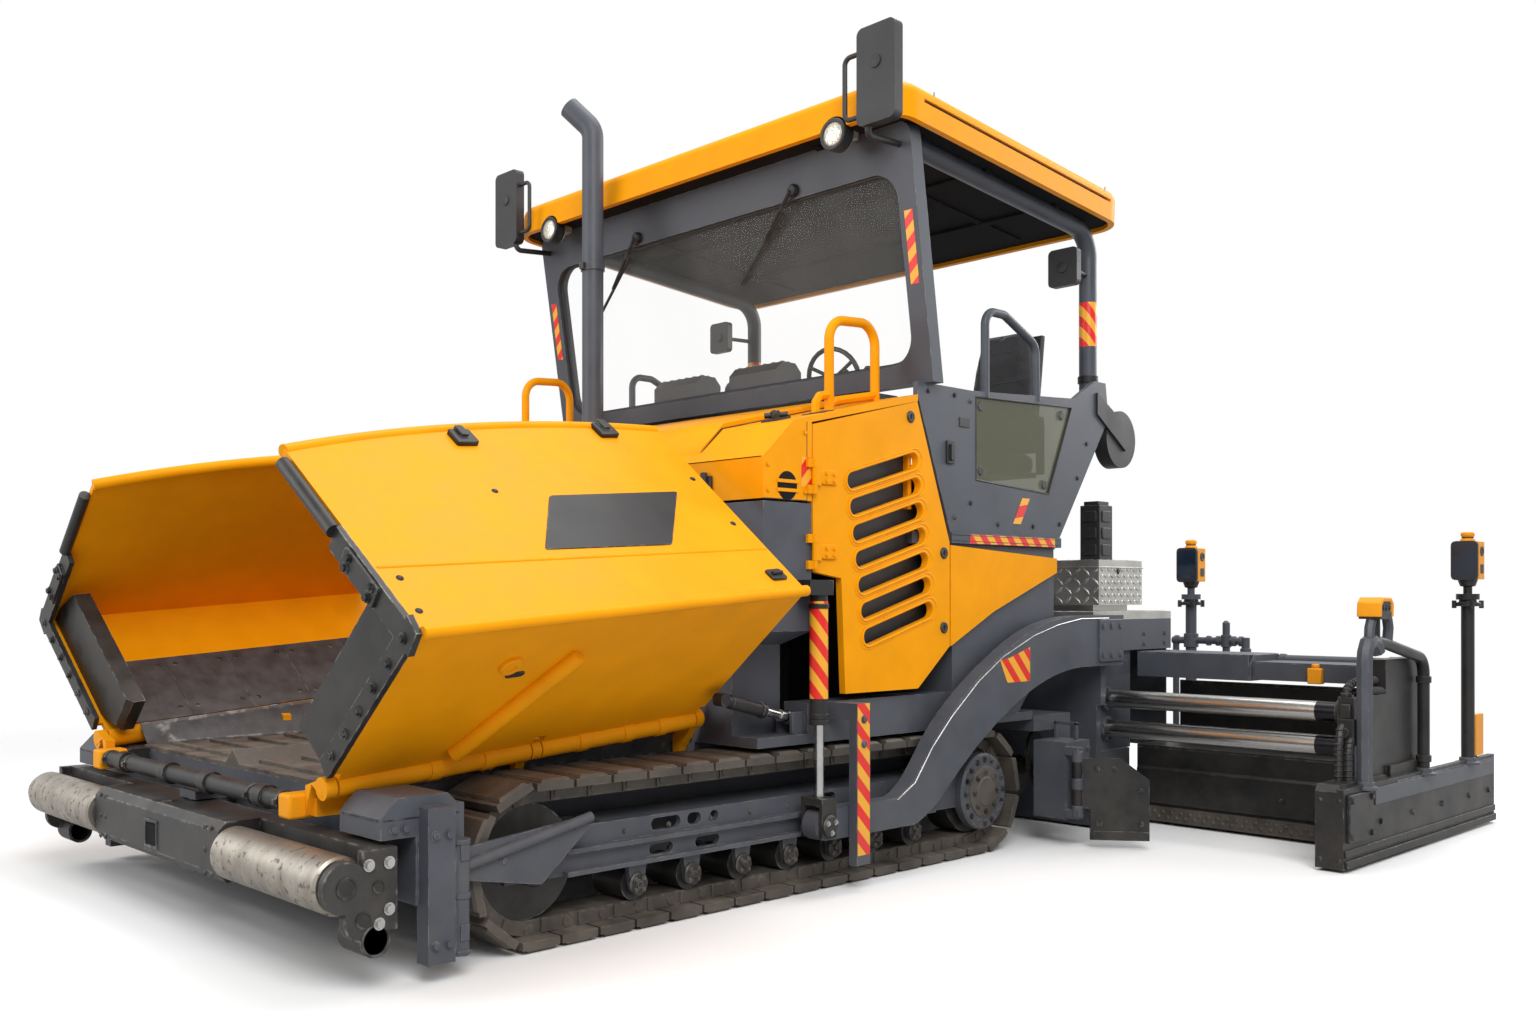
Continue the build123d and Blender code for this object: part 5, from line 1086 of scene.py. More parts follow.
def dress_roof():
    """Ribs, seams and side slots of the roof, lamps, wipers, mirrors, post clamps and screen gasket."""
    ribs = Shape()
    for x in (-0.50, 0.10, 0.62):
        ribs.block(around(x, 0.022), (-1.24, 1.24), (-0.078, -0.060), ROOF)
    for y in (-0.80, 0.80):
        ribs.block((-0.84, 0.84), around(y, 0.020), (-0.074, -0.060), ROOF)
    ribs.single("roof_ribs", "tractor", "black_paint", finish="matt_black", bevel=0.003)
    seams = Shape()
    for x in (-0.42, 0.38):
        seams.block(around(x, 0.004), (-1.29, 1.29), (0.0820, 0.0836), ROOF)
    for y in (-0.86, 0.86):
        seams.block((-0.90, 0.90), around(y, 0.004), (0.0820, 0.0836), ROOF)
    seams.single("roof_seams", "tractor", "yellow_paint", bevel=0.0008)
    slots = Shape().block((-0.79, 0.755), (1.3365, 1.3392), (0.0045, 0.0235), ROOF)
    for x in (-0.770, 0.690):
        slots.block(around(x, 0.002), (1.3365, 1.3392), (-0.060, 0.080), ROOF)
    slots.pair("roof_side_slots", "tractor", "black_paint")
    bezels = Shape()
    lens = Shape()
    seat = axes_place((0.465, 1.010, 3.237), (0, 1, 0), (0, 0, 1))
    bezels.lathe([(0.0605, -0.066), (0.068, -0.060), (0.070, 0.002), (0.066, 0.006), (0.056, 0.006), (0.053, 0.000)],
                 seat, 40)
    bezels.pair("roof_lamp_bezels", "tractor", "black_plastic", smooth=30)
    lens.lathe([(0.054, -0.002), (0.053, 0.002), (0.040, 0.0065), (0.022, 0.009), (0.004, 0.010)], seat, 36)
    lens.pair("roof_lamp_lenses", "tractor", "lamp", smooth=60)

    wipers = Shape()
    blades = Shape()
    lean = 0.42
    for y in (0.62, -0.48):
        root, tip = Vector((y, 0.985, 0.026)), Vector((y - lean * 0.62, 0.76, -0.012))
        wipers.lathe([(0.030, -0.002), (0.030, 0.014), (0.022, 0.026), (0.006, 0.030)],
                     SCREEN_FRONT @ offset(y, 0.985), 20)
        wipers.rod(SCREEN_FRONT @ root, SCREEN_FRONT @ tip, 0.011, 10, 0.008)
        low, high = Vector((y - lean, 0.62, -0.022)), Vector((y - lean * 0.25, 0.90, -0.022))
        blades.rod(SCREEN_FRONT @ low, SCREEN_FRONT @ high, 0.008, 8)
        wipers.rod(SCREEN_FRONT @ tip, SCREEN_FRONT @ low.lerp(high, 0.5), 0.008, 8)
    wipers.single("wiper_arms", "tractor", "black_paint")
    blades.single("wiper_blades", "tractor", "black_plastic")

    faces = Shape().prism(round_rectangle((1.223, 1.387), (3.213, 3.592), 0.022), -0.002, 0.0015, front_face(0.490))
    faces.prism(round_rectangle((1.148, 1.278), (2.785, 2.945), 0.018), -0.002, 0.0015, front_face(-1.125))
    faces.pair("mirror_glasses", "tractor", "bright_steel", finish="mirror_glass")
    rims = Shape()
    for x, y, z in ((0.545, 1.305, 3.45), (-1.085, 1.213, 2.865)):
        rims.lathe([(0.030, -0.003), (0.028, 0.006), (0.012, 0.010), (0.003, 0.010)],
                   axes_place((x, y, z), (0, 1, 0), (0, 0, 1)), 20)
    rims.pair("mirror_mounts", "tractor", "black_plastic", smooth=40)

    posts = Shape()
    for z in (2.200, 2.330):
        posts.lathe(band(0.042, 0.051, -0.018, 0.018), offset(-1.385, 1.183, z), 28)
    posts.pair("roof_post_clamps", "tractor", "black_paint", bevel=0.002)
    edge = [(y, z, -0.031) for y, z in round_rectangle((-1.196, 1.196), (0.099, 0.941), 0.13, 6)]
    beads([placed(SCREEN_FRONT, edge)], "screen_gasket", "tractor", "black_plastic", 0.011, sides=1)


def dress_hazard_films():
    """Striped film on posts, arms and body, each on the body that carries it."""
    tractor = Shape().prism(rectangle((0.694, 0.771), (0.150, 0.765)), *FILM, POST_FACE)
    tractor.prism(rectangle((-0.930, -0.205), (1.443, 1.485)), *FILM, BODY_FACE)
    tractor.pair("body_hazard_films", "tractor", "yellow_paint", finish="hazard_film")
    turned = Shape().prism(rectangle((0.905, 0.965), (1.640, 1.760)), *FILM, BODY_FACE)
    turned.prism(rectangle((1.226, 1.270), (0.440, 0.760)), *FILM, SCREEN_FRONT)
    turned.pair("corner_hazard_films", "tractor", "yellow_paint", finish="hazard_film_turned")
    slanted = Shape().prism([(-0.640, 1.548), (-0.575, 1.548), (-0.655, 1.674), (-0.720, 1.674)], *FILM, SIDE_FACE)
    slanted.pair("wall_hazard_films", "tractor", "yellow_paint", finish="hazard_film_level")
    sleeve = Shape().lathe(band(0.034, 0.0372, 0.790, 1.180), LEVELLER, 28)
    sleeve.pair("levelling_cylinder_films", "tractor", "yellow_paint", finish="hazard_film")
    post = Shape().lathe(band(0.040, 0.0448, 2.500, 2.730), ROOF_POST, 28)
    post.pair("roof_post_films", "tractor", "yellow_paint", finish="hazard_film")
    arm = Shape().prism([(-0.570, 0.800), (-0.380, 0.800), (-0.320, 0.905), (-0.400, 0.915), (-0.570, 0.960)], *FILM,
                        ARM_FACE)
    arm.pair("tow_arm_films", "screed", "yellow_paint", finish="hazard_film")


# Tow arms, cylinders and screed
def dress_arms():
    """Pin caps, the levelling cylinders' rods and glands, and the tow arms' plates and pale line."""
    caps = Shape()
    place = side_face(1.365) @ offset(0.915, 0.285)
    caps.lathe([(0.044, -0.002), (0.044, 0.008), (0.038, 0.013), (0.010, 0.013)], place, 32)
    caps.pair("tow_pin_caps", "tractor", "worn_steel", smooth=30)
    hex_heads(place, circle((0, 0), 0.027, (0.5, 2.6, 4.7), 0.013), "tow_pin_bolts", "tractor", "bright_steel", 0.008,
              0.007)
    chrome = Shape().lathe(band(0.0175, 0.0205, 0.396, 0.699), LEVELLER, 28)
    chrome.pair("levelling_rods", "tractor", "bright_steel", smooth=30)
    glands = Shape()
    for z, radius in ((0.695, 0.040), (1.160, 0.041), (0.720, 0.039)):
        glands.lathe(band(0.030, radius, -0.010, 0.010), offset(0.915, 1.310, z), 28)
    glands.pair("levelling_glands", "tractor", "black_paint", bevel=0.002)
    line = placed(ARM_FACE, [(0.45, 0.339), (0.325, 0.400), (0.2, 0.543), (0.06, 0.665), (-0.15, 0.815),
                             (-0.345, 0.920), (-0.60, 1.012), (-0.82, 1.062), (-1.03, 1.089), (-1.30, 1.090)])
    beads([line], "tow_arm_lines", "screed", "bright_steel", 0.0035, closed=False)
    plates = Shape().prism(round_rectangle((-1.435, -1.200), (0.870, 1.085), 0.015), -0.002, 0.010, ARM_FACE)
    plates.pair("tow_arm_plates", "screed", "slate_paint", bevel=0.003)
    spots = grid((-1.40, -1.315, -1.235), (0.905, 1.050), 0.010)
    hex_heads(ARM_FACE, spots, "tow_arm_bolts", "screed", "slate_paint", 0.015, 0.005)
    posts = [(0.7325, 0.70), (0.7325, 0.60)]
    hex_heads(POST_FACE, posts, "guide_post_bolts", "tractor", "slate_paint", 0.012, 0.010)


def tread_rows(x, y, z, pitch=0.034):
    """Alternating lozenge spots over a flat rectangle."""
    rows = []
    for column in range(int((x[1] - x[0]) / pitch)):
        for row in range(int((y[1] - y[0]) / pitch)):
            place = (x[0] + pitch * (column + 0.5), y[0] + pitch * (row + 0.5), z)
            rows.append((place, (0, 0, 1), crossed(row + column)))
    return rows


def dress_screed():
    """Diamond tread, tool-box lids, handles and bolts of the main screed."""
    tread = tread_rows((-2.145, -1.325), (-1.245, 1.245), 1.1205)
    tread = [row for row in tread if not (-1.98 < row[0][0] < -1.48 and 0.74 < abs(row[0][1]) < 1.20)]
    for side in (-1, 1):
        tread += tread_rows((-1.955, -1.505), sorted((side * 0.765, side * 1.175)), 1.3955)
    tread = [row for row in tread if not (-1.72 < row[0][0] < -1.57 and 1.02 < abs(row[0][1]) < 1.15)]
    tread += tread_rows((-2.775, -2.220), (-1.19, 1.19), 0.4005)
    tread = [row for row in tread if not (abs(row[0][0] + 2.62) < 0.05 and abs(abs(row[0][1]) - 1.14) < 0.05)]
    grown(TREAD, point_seed(tread), "screed_tread", "screed", "chequer_plate", length=0.030, width=0.010,
          height=0.0028)
    fronts = []
    for side in (-1, 1):
        for x in [-1.94 + 0.034 * column for column in range(13)]:
            for level in range(6):
                place = (x, side * 1.1805, 1.172 + 0.034 * level)
                fronts.append((place, (0, side, 0), crossed(level + round(x / 0.034))))
    grown(TREAD, point_seed(fronts), "tool_box_side_tread", "screed", "chequer_plate", length=0.032, width=0.011,
          height=0.0035)
    fronts = []
    for column in range(8):
        for level in range(4):
            for side in (-1, 1):
                turn = crossed(level + column)
                place = (side * (0.795 + 0.052 * column), 1.182 + 0.050 * level)
                fronts.append(((-1.4995, *place), (1, 0, 0), turn))
                fronts.append(((-1.9605, *place), (-1, 0, 0), turn))
    grown(TREAD, point_seed(fronts), "tool_box_end_tread", "screed", "chequer_plate", length=0.056, width=0.017,
          height=0.005)
    lids = Shape().block((-1.966, -1.494), (0.754, 1.186), (1.352, 1.360))
    lids.pair("tool_box_lid_edges", "screed", "chequer_plate", bevel=0.0015)
    grips = Shape().block((-1.712, -1.578), (1.028, 1.142), (1.396, 1.690))
    grips.block((-1.700, -1.590), (1.042, 1.128), (1.688, 1.712))
    for z in (1.450, 1.540, 1.630):
        grips.prism(round_rectangle((-1.690, -1.600), around(z, 0.030), 0.012), -0.002, 0.006, side_face(1.142))
        grips.prism(round_rectangle((1.045, 1.125), around(z, 0.030), 0.012), -0.002, 0.006, front_face(-1.578))
    grips.prism([(-1.700, 1.318), (-1.686, 1.338), (-1.700, 1.358), (-1.714, 1.338)], -0.001, 0.006, side_face(1.180))
    grips.pair("grip_post_caps", "screed", "black_plastic", bevel=0.008)
    guide = grid((-1.665, -1.615), (0.86, 0.92)) + grid((-1.50, -1.45), (0.86, 0.90))
    hex_heads(side_face(1.230), guide, "screed_guide_bolts", "screed", "slate_paint", 0.011, 0.009)
    collar = [point for z in (0.515, 0.670) for point in circle((0, z), 0.053, even_turns(6, 0.3))]
    left = [((x - 1.46, 1.2565, z), (0, 1, 0), HEAD_TURN) for x, z in collar]
    right = [((x - 1.58, -1.2565, z), (0, -1, 0), HEAD_TURN) for x, z in collar]
    grown(BOLT_HEADS, point_seed(left + right), "tube_collar_bolts", "screed", "black_paint", radius=0.006,
          height=0.005)
    lip = Shape().block((-2.156, -2.149), (0.030, 1.222), (0.432, 0.446))
    lip.pair("screed_rear_lip", "screed", "slate_paint", bevel=0.002)
    rear = grid((0.10, 0.47, 0.84, 1.19), (0.50, 0.76, 1.03))
    hex_heads(back_face(-2.1505), rear, "screed_rear_bolts", "screed", "slate_paint", 0.010, 0.008)
    skirt = grid((-2.08, -1.85), (1.00,)) + grid((-2.08, -1.85), (0.945,))
    hex_heads(side_face(1.250), skirt, "screed_skirt_bolts", "screed", "slate_paint", 0.010, 0.007)


def display_fittings(x, y, name, body):
    """Amber case, dark rounded screen, sockets and cap of one display."""
    shell = Shape().block((x - 0.055, x + 0.042), around(y, 0.060), (1.288, 1.482))
    shell.lathe([(0.034, 1.478), (0.034, 1.494), (0.025, 1.498), (0.025, 1.506), (0.031, 1.510), (0.031, 1.526),
                 (0.026, 1.531), (0.003, 1.531)], offset(x, y), 28)
    shell.pair(f"{name}_shell", body, "yellow_paint", finish="amber_plastic", bevel=0.009)
    dark = Shape().prism(round_rectangle(around(y, 0.061), (1.284, 1.485), 0.026, 6), 0.040, 0.057, front_face(x))
    dark.lathe([(0.026, -0.003), (0.026, 0.003), (0.017, 0.004), (0.015, 0.001)],
               side_face(y + 0.060) @ offset(x - 0.012, 1.432), 20)
    dark.prism(round_rectangle((x - 0.034, x + 0.010), (1.318, 1.366), 0.010), -0.002, 0.003, side_face(y + 0.060))
    dark.lathe([(0.021, 1.250), (0.034, 1.254), (0.044, 1.284), (0.044, 1.290)], offset(x, y), 24)
    dark.lathe(band(0.0255, 0.0275, 1.499, 1.505), offset(x, y), 28)
    dark.pair(f"{name}_bezel", body, "black_plastic", bevel=0.002)
    screen = Shape().prism(round_rectangle(around(y, 0.050), (1.298, 1.472), 0.020, 6), 0.056, 0.0580, front_face(x))
    screen.pair(f"{name}_screen", body, "tinted_glass", finish="dark_screen")
    clamp = Shape().lathe([(0.029, 1.150), (0.058, 1.150), (0.058, 1.168), (0.040, 1.172), (0.036, 1.196),
                           (0.022, 1.202)], offset(x, y), 28)
    for spot in circle((x, y), 0.062, (0.6, 2.17, 3.74, 5.31)):
        clamp.rod((*spot, 1.140), (*spot, 1.180), 0.011, 10)
    clamp.pair(f"{name}_clamp", body, "black_paint", bevel=0.0015)


def dress_rails():
    """Thick front leg, loop, handle, pipes and fittings on the extensions and the rear footboard."""
    y = RAIL_Y
    leg = [[(-1.380, y, 0.345), (-1.380, y, 0.900), (-1.386, y, 0.950), (-1.410, y, 0.988), (-1.452, y, 1.000),
            (-1.500, y, 0.985), (-1.530, y, 0.950)]]
    beads(leg, "rail_front_leg", "extension_SIDE", "slate_paint", 0.034, closed=False)
    loop = [[(-1.430, y, 0.960), (-1.440, y, 1.060), (-1.470, y, 1.108), (-1.530, y, 1.122), (-1.610, y, 1.120),
             (-1.650, y, 1.098), (-1.664, y, 1.055), (-1.650, y, 0.990)]]
    beads(loop, "rail_loop", "extension_SIDE", "slate_paint", 0.023, closed=False)
    pipes = [[(-1.400, 2.436, 0.730), (-1.404, 2.436, 0.770), (-1.440, 2.436, 0.800), (-1.520, 2.436, 0.810),
              (-1.640, 2.436, 0.810), (-1.752, 2.436, 0.806)],
             [(-1.480, 2.462, 0.730), (-1.484, 2.462, 0.750), (-1.520, 2.462, 0.762), (-1.640, 2.462, 0.762),
              (-1.752, 2.462, 0.758)],
             [(-1.350, 2.440, 0.620), (-1.322, 2.440, 0.600), (-1.306, 2.440, 0.540), (-1.302, 2.440, 0.372)],
             [(-1.350, 2.475, 0.560), (-1.330, 2.475, 0.545), (-1.318, 2.475, 0.500), (-1.316, 2.475, 0.372)]]
    beads(pipes, "extension_pipes", "extension_SIDE", "black_plastic", 0.017, closed=False)
    rings = []
    for line in pipes:
        for start, end in zip(line[1:], line[2:]):
            steps = max(2, int((Vector(end) - Vector(start)).length / 0.022))
            for step in range(steps):
                way = (Vector(end) - Vector(start)).normalized()
                rings.append((tuple(Vector(start).lerp(Vector(end), step / steps)), tuple(way)))
    heads(ROUND_HEADS, rings, "extension_pipe_ribs", "extension_SIDE", "black_plastic", radius=0.0205, height=0.006)
    valve = Shape().block((-1.376, -1.336), (2.420, 2.490), (0.530, 0.650))
    valve.block((-1.376, -1.350), (2.428, 2.470), (0.650, 0.715))
    valve.rod((-1.340, 2.455, 0.590), (-1.322, 2.455, 0.590), 0.022, 20)
    valve.rod((-1.400, 2.436, 0.742), (-1.400, 2.436, 0.764), 0.025, 6)
    valve.rod((-1.480, 2.462, 0.742), (-1.480, 2.462, 0.762), 0.025, 6)
    valve.pair("extension_valves", "extension_SIDE", "black_paint", bevel=0.003)
    back_tube = Shape()
    for start, end, radius in ((1.840, 2.415, 0.027), (1.866, 1.894, 0.033), (2.384, 2.412, 0.033)):
        back_tube.rod((-2.086, start, 0.872), (-2.086, end, 0.872), radius, 24)
    back_tube.pair("extension_back_tube", "extension_SIDE", "slate_paint", bevel=0.002)

    handle = Shape()
    outer = [(-1.588, 1.108), (-1.592, 1.168), (-1.560, 1.196), (-1.462, 1.196), (-1.430, 1.172), (-1.424, 1.108)]
    inner = [(-1.446, 1.108), (-1.450, 1.160), (-1.470, 1.176), (-1.552, 1.176), (-1.570, 1.160), (-1.566, 1.108)]
    handle.prism(outer + inner, -0.050, 0.050, side_face(y))
    handle.pair("control_handle", "extension_SIDE", "yellow_paint", finish="amber_plastic", bevel=0.005)
    keys = Shape().block((-1.575, -1.440), around(y, 0.047), (1.098, 1.130))
    for x in (-1.540, -1.505, -1.470):
        for side in (-1, 1):
            keys.rod((x, y + side * 0.040, 1.150), (x, y + side * 0.052, 1.150), 0.010, 14)
    keys.pair("control_keys", "extension_SIDE", "black_plastic", bevel=0.002)

    tees = Shape()
    x, z = -2.620, 0.945
    tees.rod((x, 1.030, z), (x, 1.455, z), 0.020, 20)
    for y in (1.055, 1.245, 1.300, 1.390, 1.430):
        tees.rod((x, y - 0.010, z), (x, y + 0.010, z), 0.029, 20)
    for y, low, high, *form in ((1.345, 0.800, 1.050, 0.020), (1.345, 1.050, 1.062, 0.020, 20, 0.008),
                                (1.345, z - 0.035, z + 0.035, 0.028), (1.455, 0.800, z + 0.022, 0.022),
                                (1.455, z - 0.060, z - 0.040, 0.029), (1.050, 0.398, z, 0.018),
                                (1.140, z - 0.040, z + 0.040, 0.040, 24)):
        tees.rod((x, y, low), (x, y, high), *form)
    tees.pair("footboard_pipes", "screed", "slate_paint", bevel=0.002)
    feet = Shape()
    for x in (-2.760, -2.120, -1.380):
        feet.lathe([(0.030, 0.000), (0.056, 0.000), (0.056, 0.012), (0.040, 0.016), (0.038, 0.034), (0.030, 0.036)],
                   offset(x, RAIL_Y, 0.340), 28)
    feet.pair("rail_feet", "extension_SIDE", "slate_paint", bevel=0.001)


def dress_extensions():
    """Displays, sensor, reflectors, end plates, aprons, black back plates of painted shade and beam covers of the
    extensions.
    """
    display_fittings(-2.620, 1.140, "screed_display", "screed")
    display_fittings(-2.760, RAIL_Y, "extension_display", "extension_SIDE")
    sensor = Shape().block((-1.792, -1.745), (2.130, 2.195), (0.775, 0.852))
    sensor.rod((-1.768, 2.162, 0.850), (-1.768, 2.162, 0.872), 0.018, 16)
    sensor.pair("beam_sensor", "extension_SIDE", "yellow_paint", finish="amber_plastic", bevel=0.006)
    reflector = Shape().prism(round_rectangle((-2.965, -2.850), (0.375, 0.590), 0.010), -0.016, 0.004, END_FACE)
    reflector.pair("end_reflector", "extension_SIDE", "yellow_paint", finish="amber_plastic", bevel=0.003)
    holder = Shape().block((-2.925, -2.885), (2.496, 2.514), (0.340, 0.580))
    holder.pair("reflector_holder", "extension_SIDE", "black_paint", bevel=0.002)
    skids = Shape()
    skids.prism([(-3.145, 0.014), (-1.14, 0.014), (-1.125, 0.050), (-3.145, 0.050)], -0.001, 0.012, END_FACE)
    skids.prism([(-3.145, 0.064), (-1.13, 0.064), (-1.125, 0.096), (-3.145, 0.096)], -0.001, 0.008, END_FACE)
    skids.pair("skid_strips", "extension_SIDE", "worn_steel", bevel=0.003)
    box = Shape().prism(round_rectangle((-1.420, -1.150), (0.125, 0.335), 0.012), -0.001, 0.016, END_FACE)
    box.pair("end_plate_cover", "extension_SIDE", "black_paint", bevel=0.004)
    panels = Shape().prism(rectangle((-3.120, -1.470), (0.262, 0.338)), -0.001, 0.007, END_FACE)
    panels.block((-3.130, -1.740), (2.485, 2.531), (0.338, 0.346))
    panels.pair("end_plate_ledge", "extension_SIDE", "slate_paint", bevel=0.002)
    spots = grid((-1.395, -1.175), (0.150, 0.310), 0.016)
    spots += [(x, 0.180) for x in (-1.55, -1.95, -2.35, -2.75, -3.05)]
    hex_heads(END_FACE, spots, "end_plate_bolts", "extension_SIDE", "black_paint", 0.012, 0.009)
    shoe = grid((2.430, 2.510), (0.050, 0.310))
    dome_heads(front_face(-1.120), shoe, "shoe_rivets", "extension_SIDE", "worn_steel", 0.010, 0.004)
    seams = Shape().block((-2.184, -2.180), (1.270, 2.490), (0.110, 0.116))
    seams.block((-2.186, -2.180), (1.262, 2.495), (0.014, 0.060))
    seams.pair("extension_plate_edges", "extension_SIDE", "worn_steel", bevel=0.002)
    rear = grid((1.34, 1.62, 1.90, 2.18, 2.44), (0.16, 0.37))
    hex_heads(back_face(-2.1805), rear, "extension_rear_bolts", "extension_SIDE", "black_paint", 0.011, 0.008)
    apron = Shape()
    profile = [(-1.752, 0.402), (-1.746, 0.402), (-1.746, 0.300), (-1.731, 0.288), (-1.731, 0.112), (-1.752, 0.100)]
    apron.prism(profile, 1.268, 2.405, MIDDLE)
    apron.pair("extension_apron", "extension_SIDE", "black_paint", bevel=0.002)
    strip = Shape().block((-1.752, -1.738), (1.268, 2.405), (0.014, 0.094))
    strip.pair("extension_tamper_strip", "extension_SIDE", "track_steel", bevel=0.003)
    studs = [(1.290 + 0.024 * index, 0.040 + 0.026 * (index % 2)) for index in range(46)]
    dome_heads(front_face(-1.738), studs, "extension_tamper_studs", "extension_SIDE", "track_steel", 0.011, 0.006)
    bolts = grid((1.62, 2.02, 2.36), (0.190,))
    hex_heads(front_face(-1.731), bolts, "extension_apron_bolts", "extension_SIDE", "black_paint", 0.011, 0.008)
    # Black plate behind the extension tubes: a dark sheet of painted shade for the darkness between and under them.
    back = Shape().block((-2.212, -2.204), (1.275, 2.405), (0.412, 0.730))
    back.block((-2.222, -2.204), (1.275, 2.405), (0.722, 0.738))
    for y in (1.340, 1.840, 2.340):
        back.block((-2.206, -2.178), around(y, 0.030), (0.310, 0.428))
    back.pair("extension_back_plate", "extension_SIDE", "black_paint", bevel=0.002)
    panel = Shape().prism(rectangle((1.266, 1.852), (0.776, 0.903)), -0.003, 0.006, front_face(-1.750))
    panel.block((-2.078, -1.744), (1.266, 1.852), (0.901, 0.908))
    panel.prism([(-2.078, 0.776), (-1.746, 0.776), (-1.746, 0.860), (-1.790, 0.906), (-2.078, 0.906)], 0, 0.010,
                side_face(1.852))
    panel.prism(rectangle((1.862, 2.405), (0.782, 0.868)), -0.003, 0.006, front_face(-1.780))
    panel.block((-2.050, -1.774), (1.862, 2.405), (0.866, 0.873))
    panel.pair("extension_beam_covers", "extension_SIDE", "slate_paint", bevel=0.002)
    clamps = Shape()
    for z in (0.42, 0.80):
        clamps.lathe(band(0.024, 0.033, -0.016, 0.016), offset(-2.120, RAIL_Y, z), 24)
    clamps.pair("rail_clamps", "extension_SIDE", "black_paint", bevel=0.002)


def dress_tunnel():
    """Knuckles, handle and bolts of the tunnel boxes and their plates."""
    box = side_face(1.410)
    handle = Shape()
    for y in (1.268, 1.376):
        handle.block((-0.938, -0.922), around(y, 0.008), (0.498, 0.584))
    handle.block((-0.938, -0.922), (1.260, 1.384), (0.570, 0.586))
    for z in (0.175, 0.305, 0.435):
        handle.rod((-0.800, 1.455, z - 0.026), (-0.800, 1.455, z + 0.026), 0.027, 20)
    handle.pair("tunnel_box_fittings", "tractor", "slate_paint", bevel=0.002)
    hex_heads(box, [(-0.80, 0.16), (-0.80, 0.46), (-0.975, 0.16), (-0.975, 0.46)], "tunnel_box_bolts", "tractor",
              "slate_paint", 0.011, 0.009)
    plate = offset(-0.800, 1.455) @ Matrix.Rotation(math.radians(131), 4, "Z")
    strip = Shape().block((0.070, 0.325), (-0.014, 0.014), (0.042, 0.085), plate)
    strip.pair("tunnel_plate_strips", "tunnel_plate_SIDE", "worn_steel", bevel=0.002)
    spots = []
    for way in (-1, 1):
        facing = tuple(plate.to_3x3() @ Vector((0, way, 0)))
        spots += [(tuple(plate @ Vector((x, way * 0.0085, z))), facing)
                  for x, z in ((0.09, 0.38), (0.17, 0.38), (0.10, 0.12), (0.29, 0.12), (0.29, 0.28))]
    heads(BOLT_HEADS, spots, "tunnel_plate_bolts", "tunnel_plate_SIDE", "black_paint", radius=0.010, height=0.008)


def dress_augers():
    """Bolted split clamps along the auger shafts."""
    clamps = Shape()
    spots = []
    for y in (0.30, 0.63, 0.96):
        seat = axes_place((-1.055, y, 0.330), (0, 0, 1), (1, 0, 0))
        clamps.lathe(band(0.036, 0.050, -0.030, 0.030), seat, 24)
        for turn in (0.6, 2.2, 3.74, 5.3):
            way = (math.cos(turn), 0, math.sin(turn))
            spots.append(((-1.055 + 0.051 * way[0], y, 0.330 + 0.051 * way[2]), way))
    clamps.pair("auger_clamps", "auger_SIDE", "worn_steel", bevel=0.002)
    heads(BOLT_HEADS, spots, "auger_bolts", "auger_SIDE", "worn_steel", radius=0.008, height=0.007)


# Seats and console
PAD_VOXEL = 0.009
PAD_SWELL = 0.022
CLOTH_FRAMES = 20


def even_mesh(mesh):
    """The mesh rebuilt of even squares."""
    source = bpy.data.objects.new("pad", mesh)
    scene.collection.objects.link(source)
    even = source.modifiers.new("even", "REMESH")
    even.mode = "VOXEL"
    even.voxel_size = PAD_VOXEL
    made = bpy.data.meshes.new_from_object(source.evaluated_get(bpy.context.evaluated_depsgraph_get()))
    bpy.data.objects.remove(source)
    return made


def swollen(mesh):
    """The mesh puffed up by cloth under pressure, no point moving further than the swell."""
    source = bpy.data.objects.new("pad", mesh)
    scene.collection.objects.link(source)
    cloth = source.modifiers.new("cloth", "CLOTH")
    cloth.settings.use_pressure = True
    cloth.settings.uniform_pressure_force = 4.0
    cloth.settings.effector_weights.gravity = 0.0
    cloth.point_cache.frame_end = CLOTH_FRAMES
    for step in range(1, CLOTH_FRAMES + 1):
        scene.frame_set(step)
    made = bpy.data.meshes.new_from_object(source.evaluated_get(bpy.context.evaluated_depsgraph_get()))
    for vert, base in zip(made.vertices, mesh.vertices):
        shift = vert.co - base.co
        if shift.length > PAD_SWELL:
            vert.co = base.co + shift.normalized() * PAD_SWELL
    bpy.data.objects.remove(source)
    scene.frame_set(1)
    return made


def pad_block(x, y, z, lean=0.0, waist=0.0, crown=0.0):
    """Rounded block whose sides pull in at the middle and the top, sheared to the rear with height."""
    shape = Shape().block(x, y, z).mesh
    bmesh.ops.bevel(shape, geom=shape.edges[:], offset=0.034, segments=3, profile=0.6, affect="EDGES")
    bmesh.ops.subdivide_edges(shape, edges=shape.edges[:], cuts=6, use_grid_fill=True)
    middle_y = (y[0] + y[1]) / 2
    for vert in shape.verts:
        along = (vert.co.x - x[0]) / (x[1] - x[0])
        rise = (vert.co.z - z[0]) / (z[1] - z[0])
        pull = 1 - waist * 4 * (along * (1 - along) if not lean else rise * (1 - rise))
        pull -= crown * max(0.0, (rise - 0.5) / 0.5) ** 2
        vert.co.y = middle_y + (vert.co.y - middle_y) * pull
        vert.co.x -= lean * rise
    mesh = bpy.data.meshes.new("pad")
    shape.to_mesh(mesh)
    shape.free()
    return mesh


def seam_on(mesh, points, sink=0.001):
    """Points laid on a mesh's surface."""
    tree = BVHTree.FromPolygons([vert.co for vert in mesh.vertices], [poly.vertices[:] for poly in mesh.polygons])
    made = []
    for point in points:
        spot, normal, _, _ = tree.find_nearest(Vector(point))
        made.append(spot - normal * sink)
    return made


def joined_mesh(meshes):
    whole = bmesh.new()
    for mesh in meshes:
        whole.from_mesh(mesh)
    made = bpy.data.meshes.new("pads")
    whole.to_mesh(made)
    whole.free()
    return made


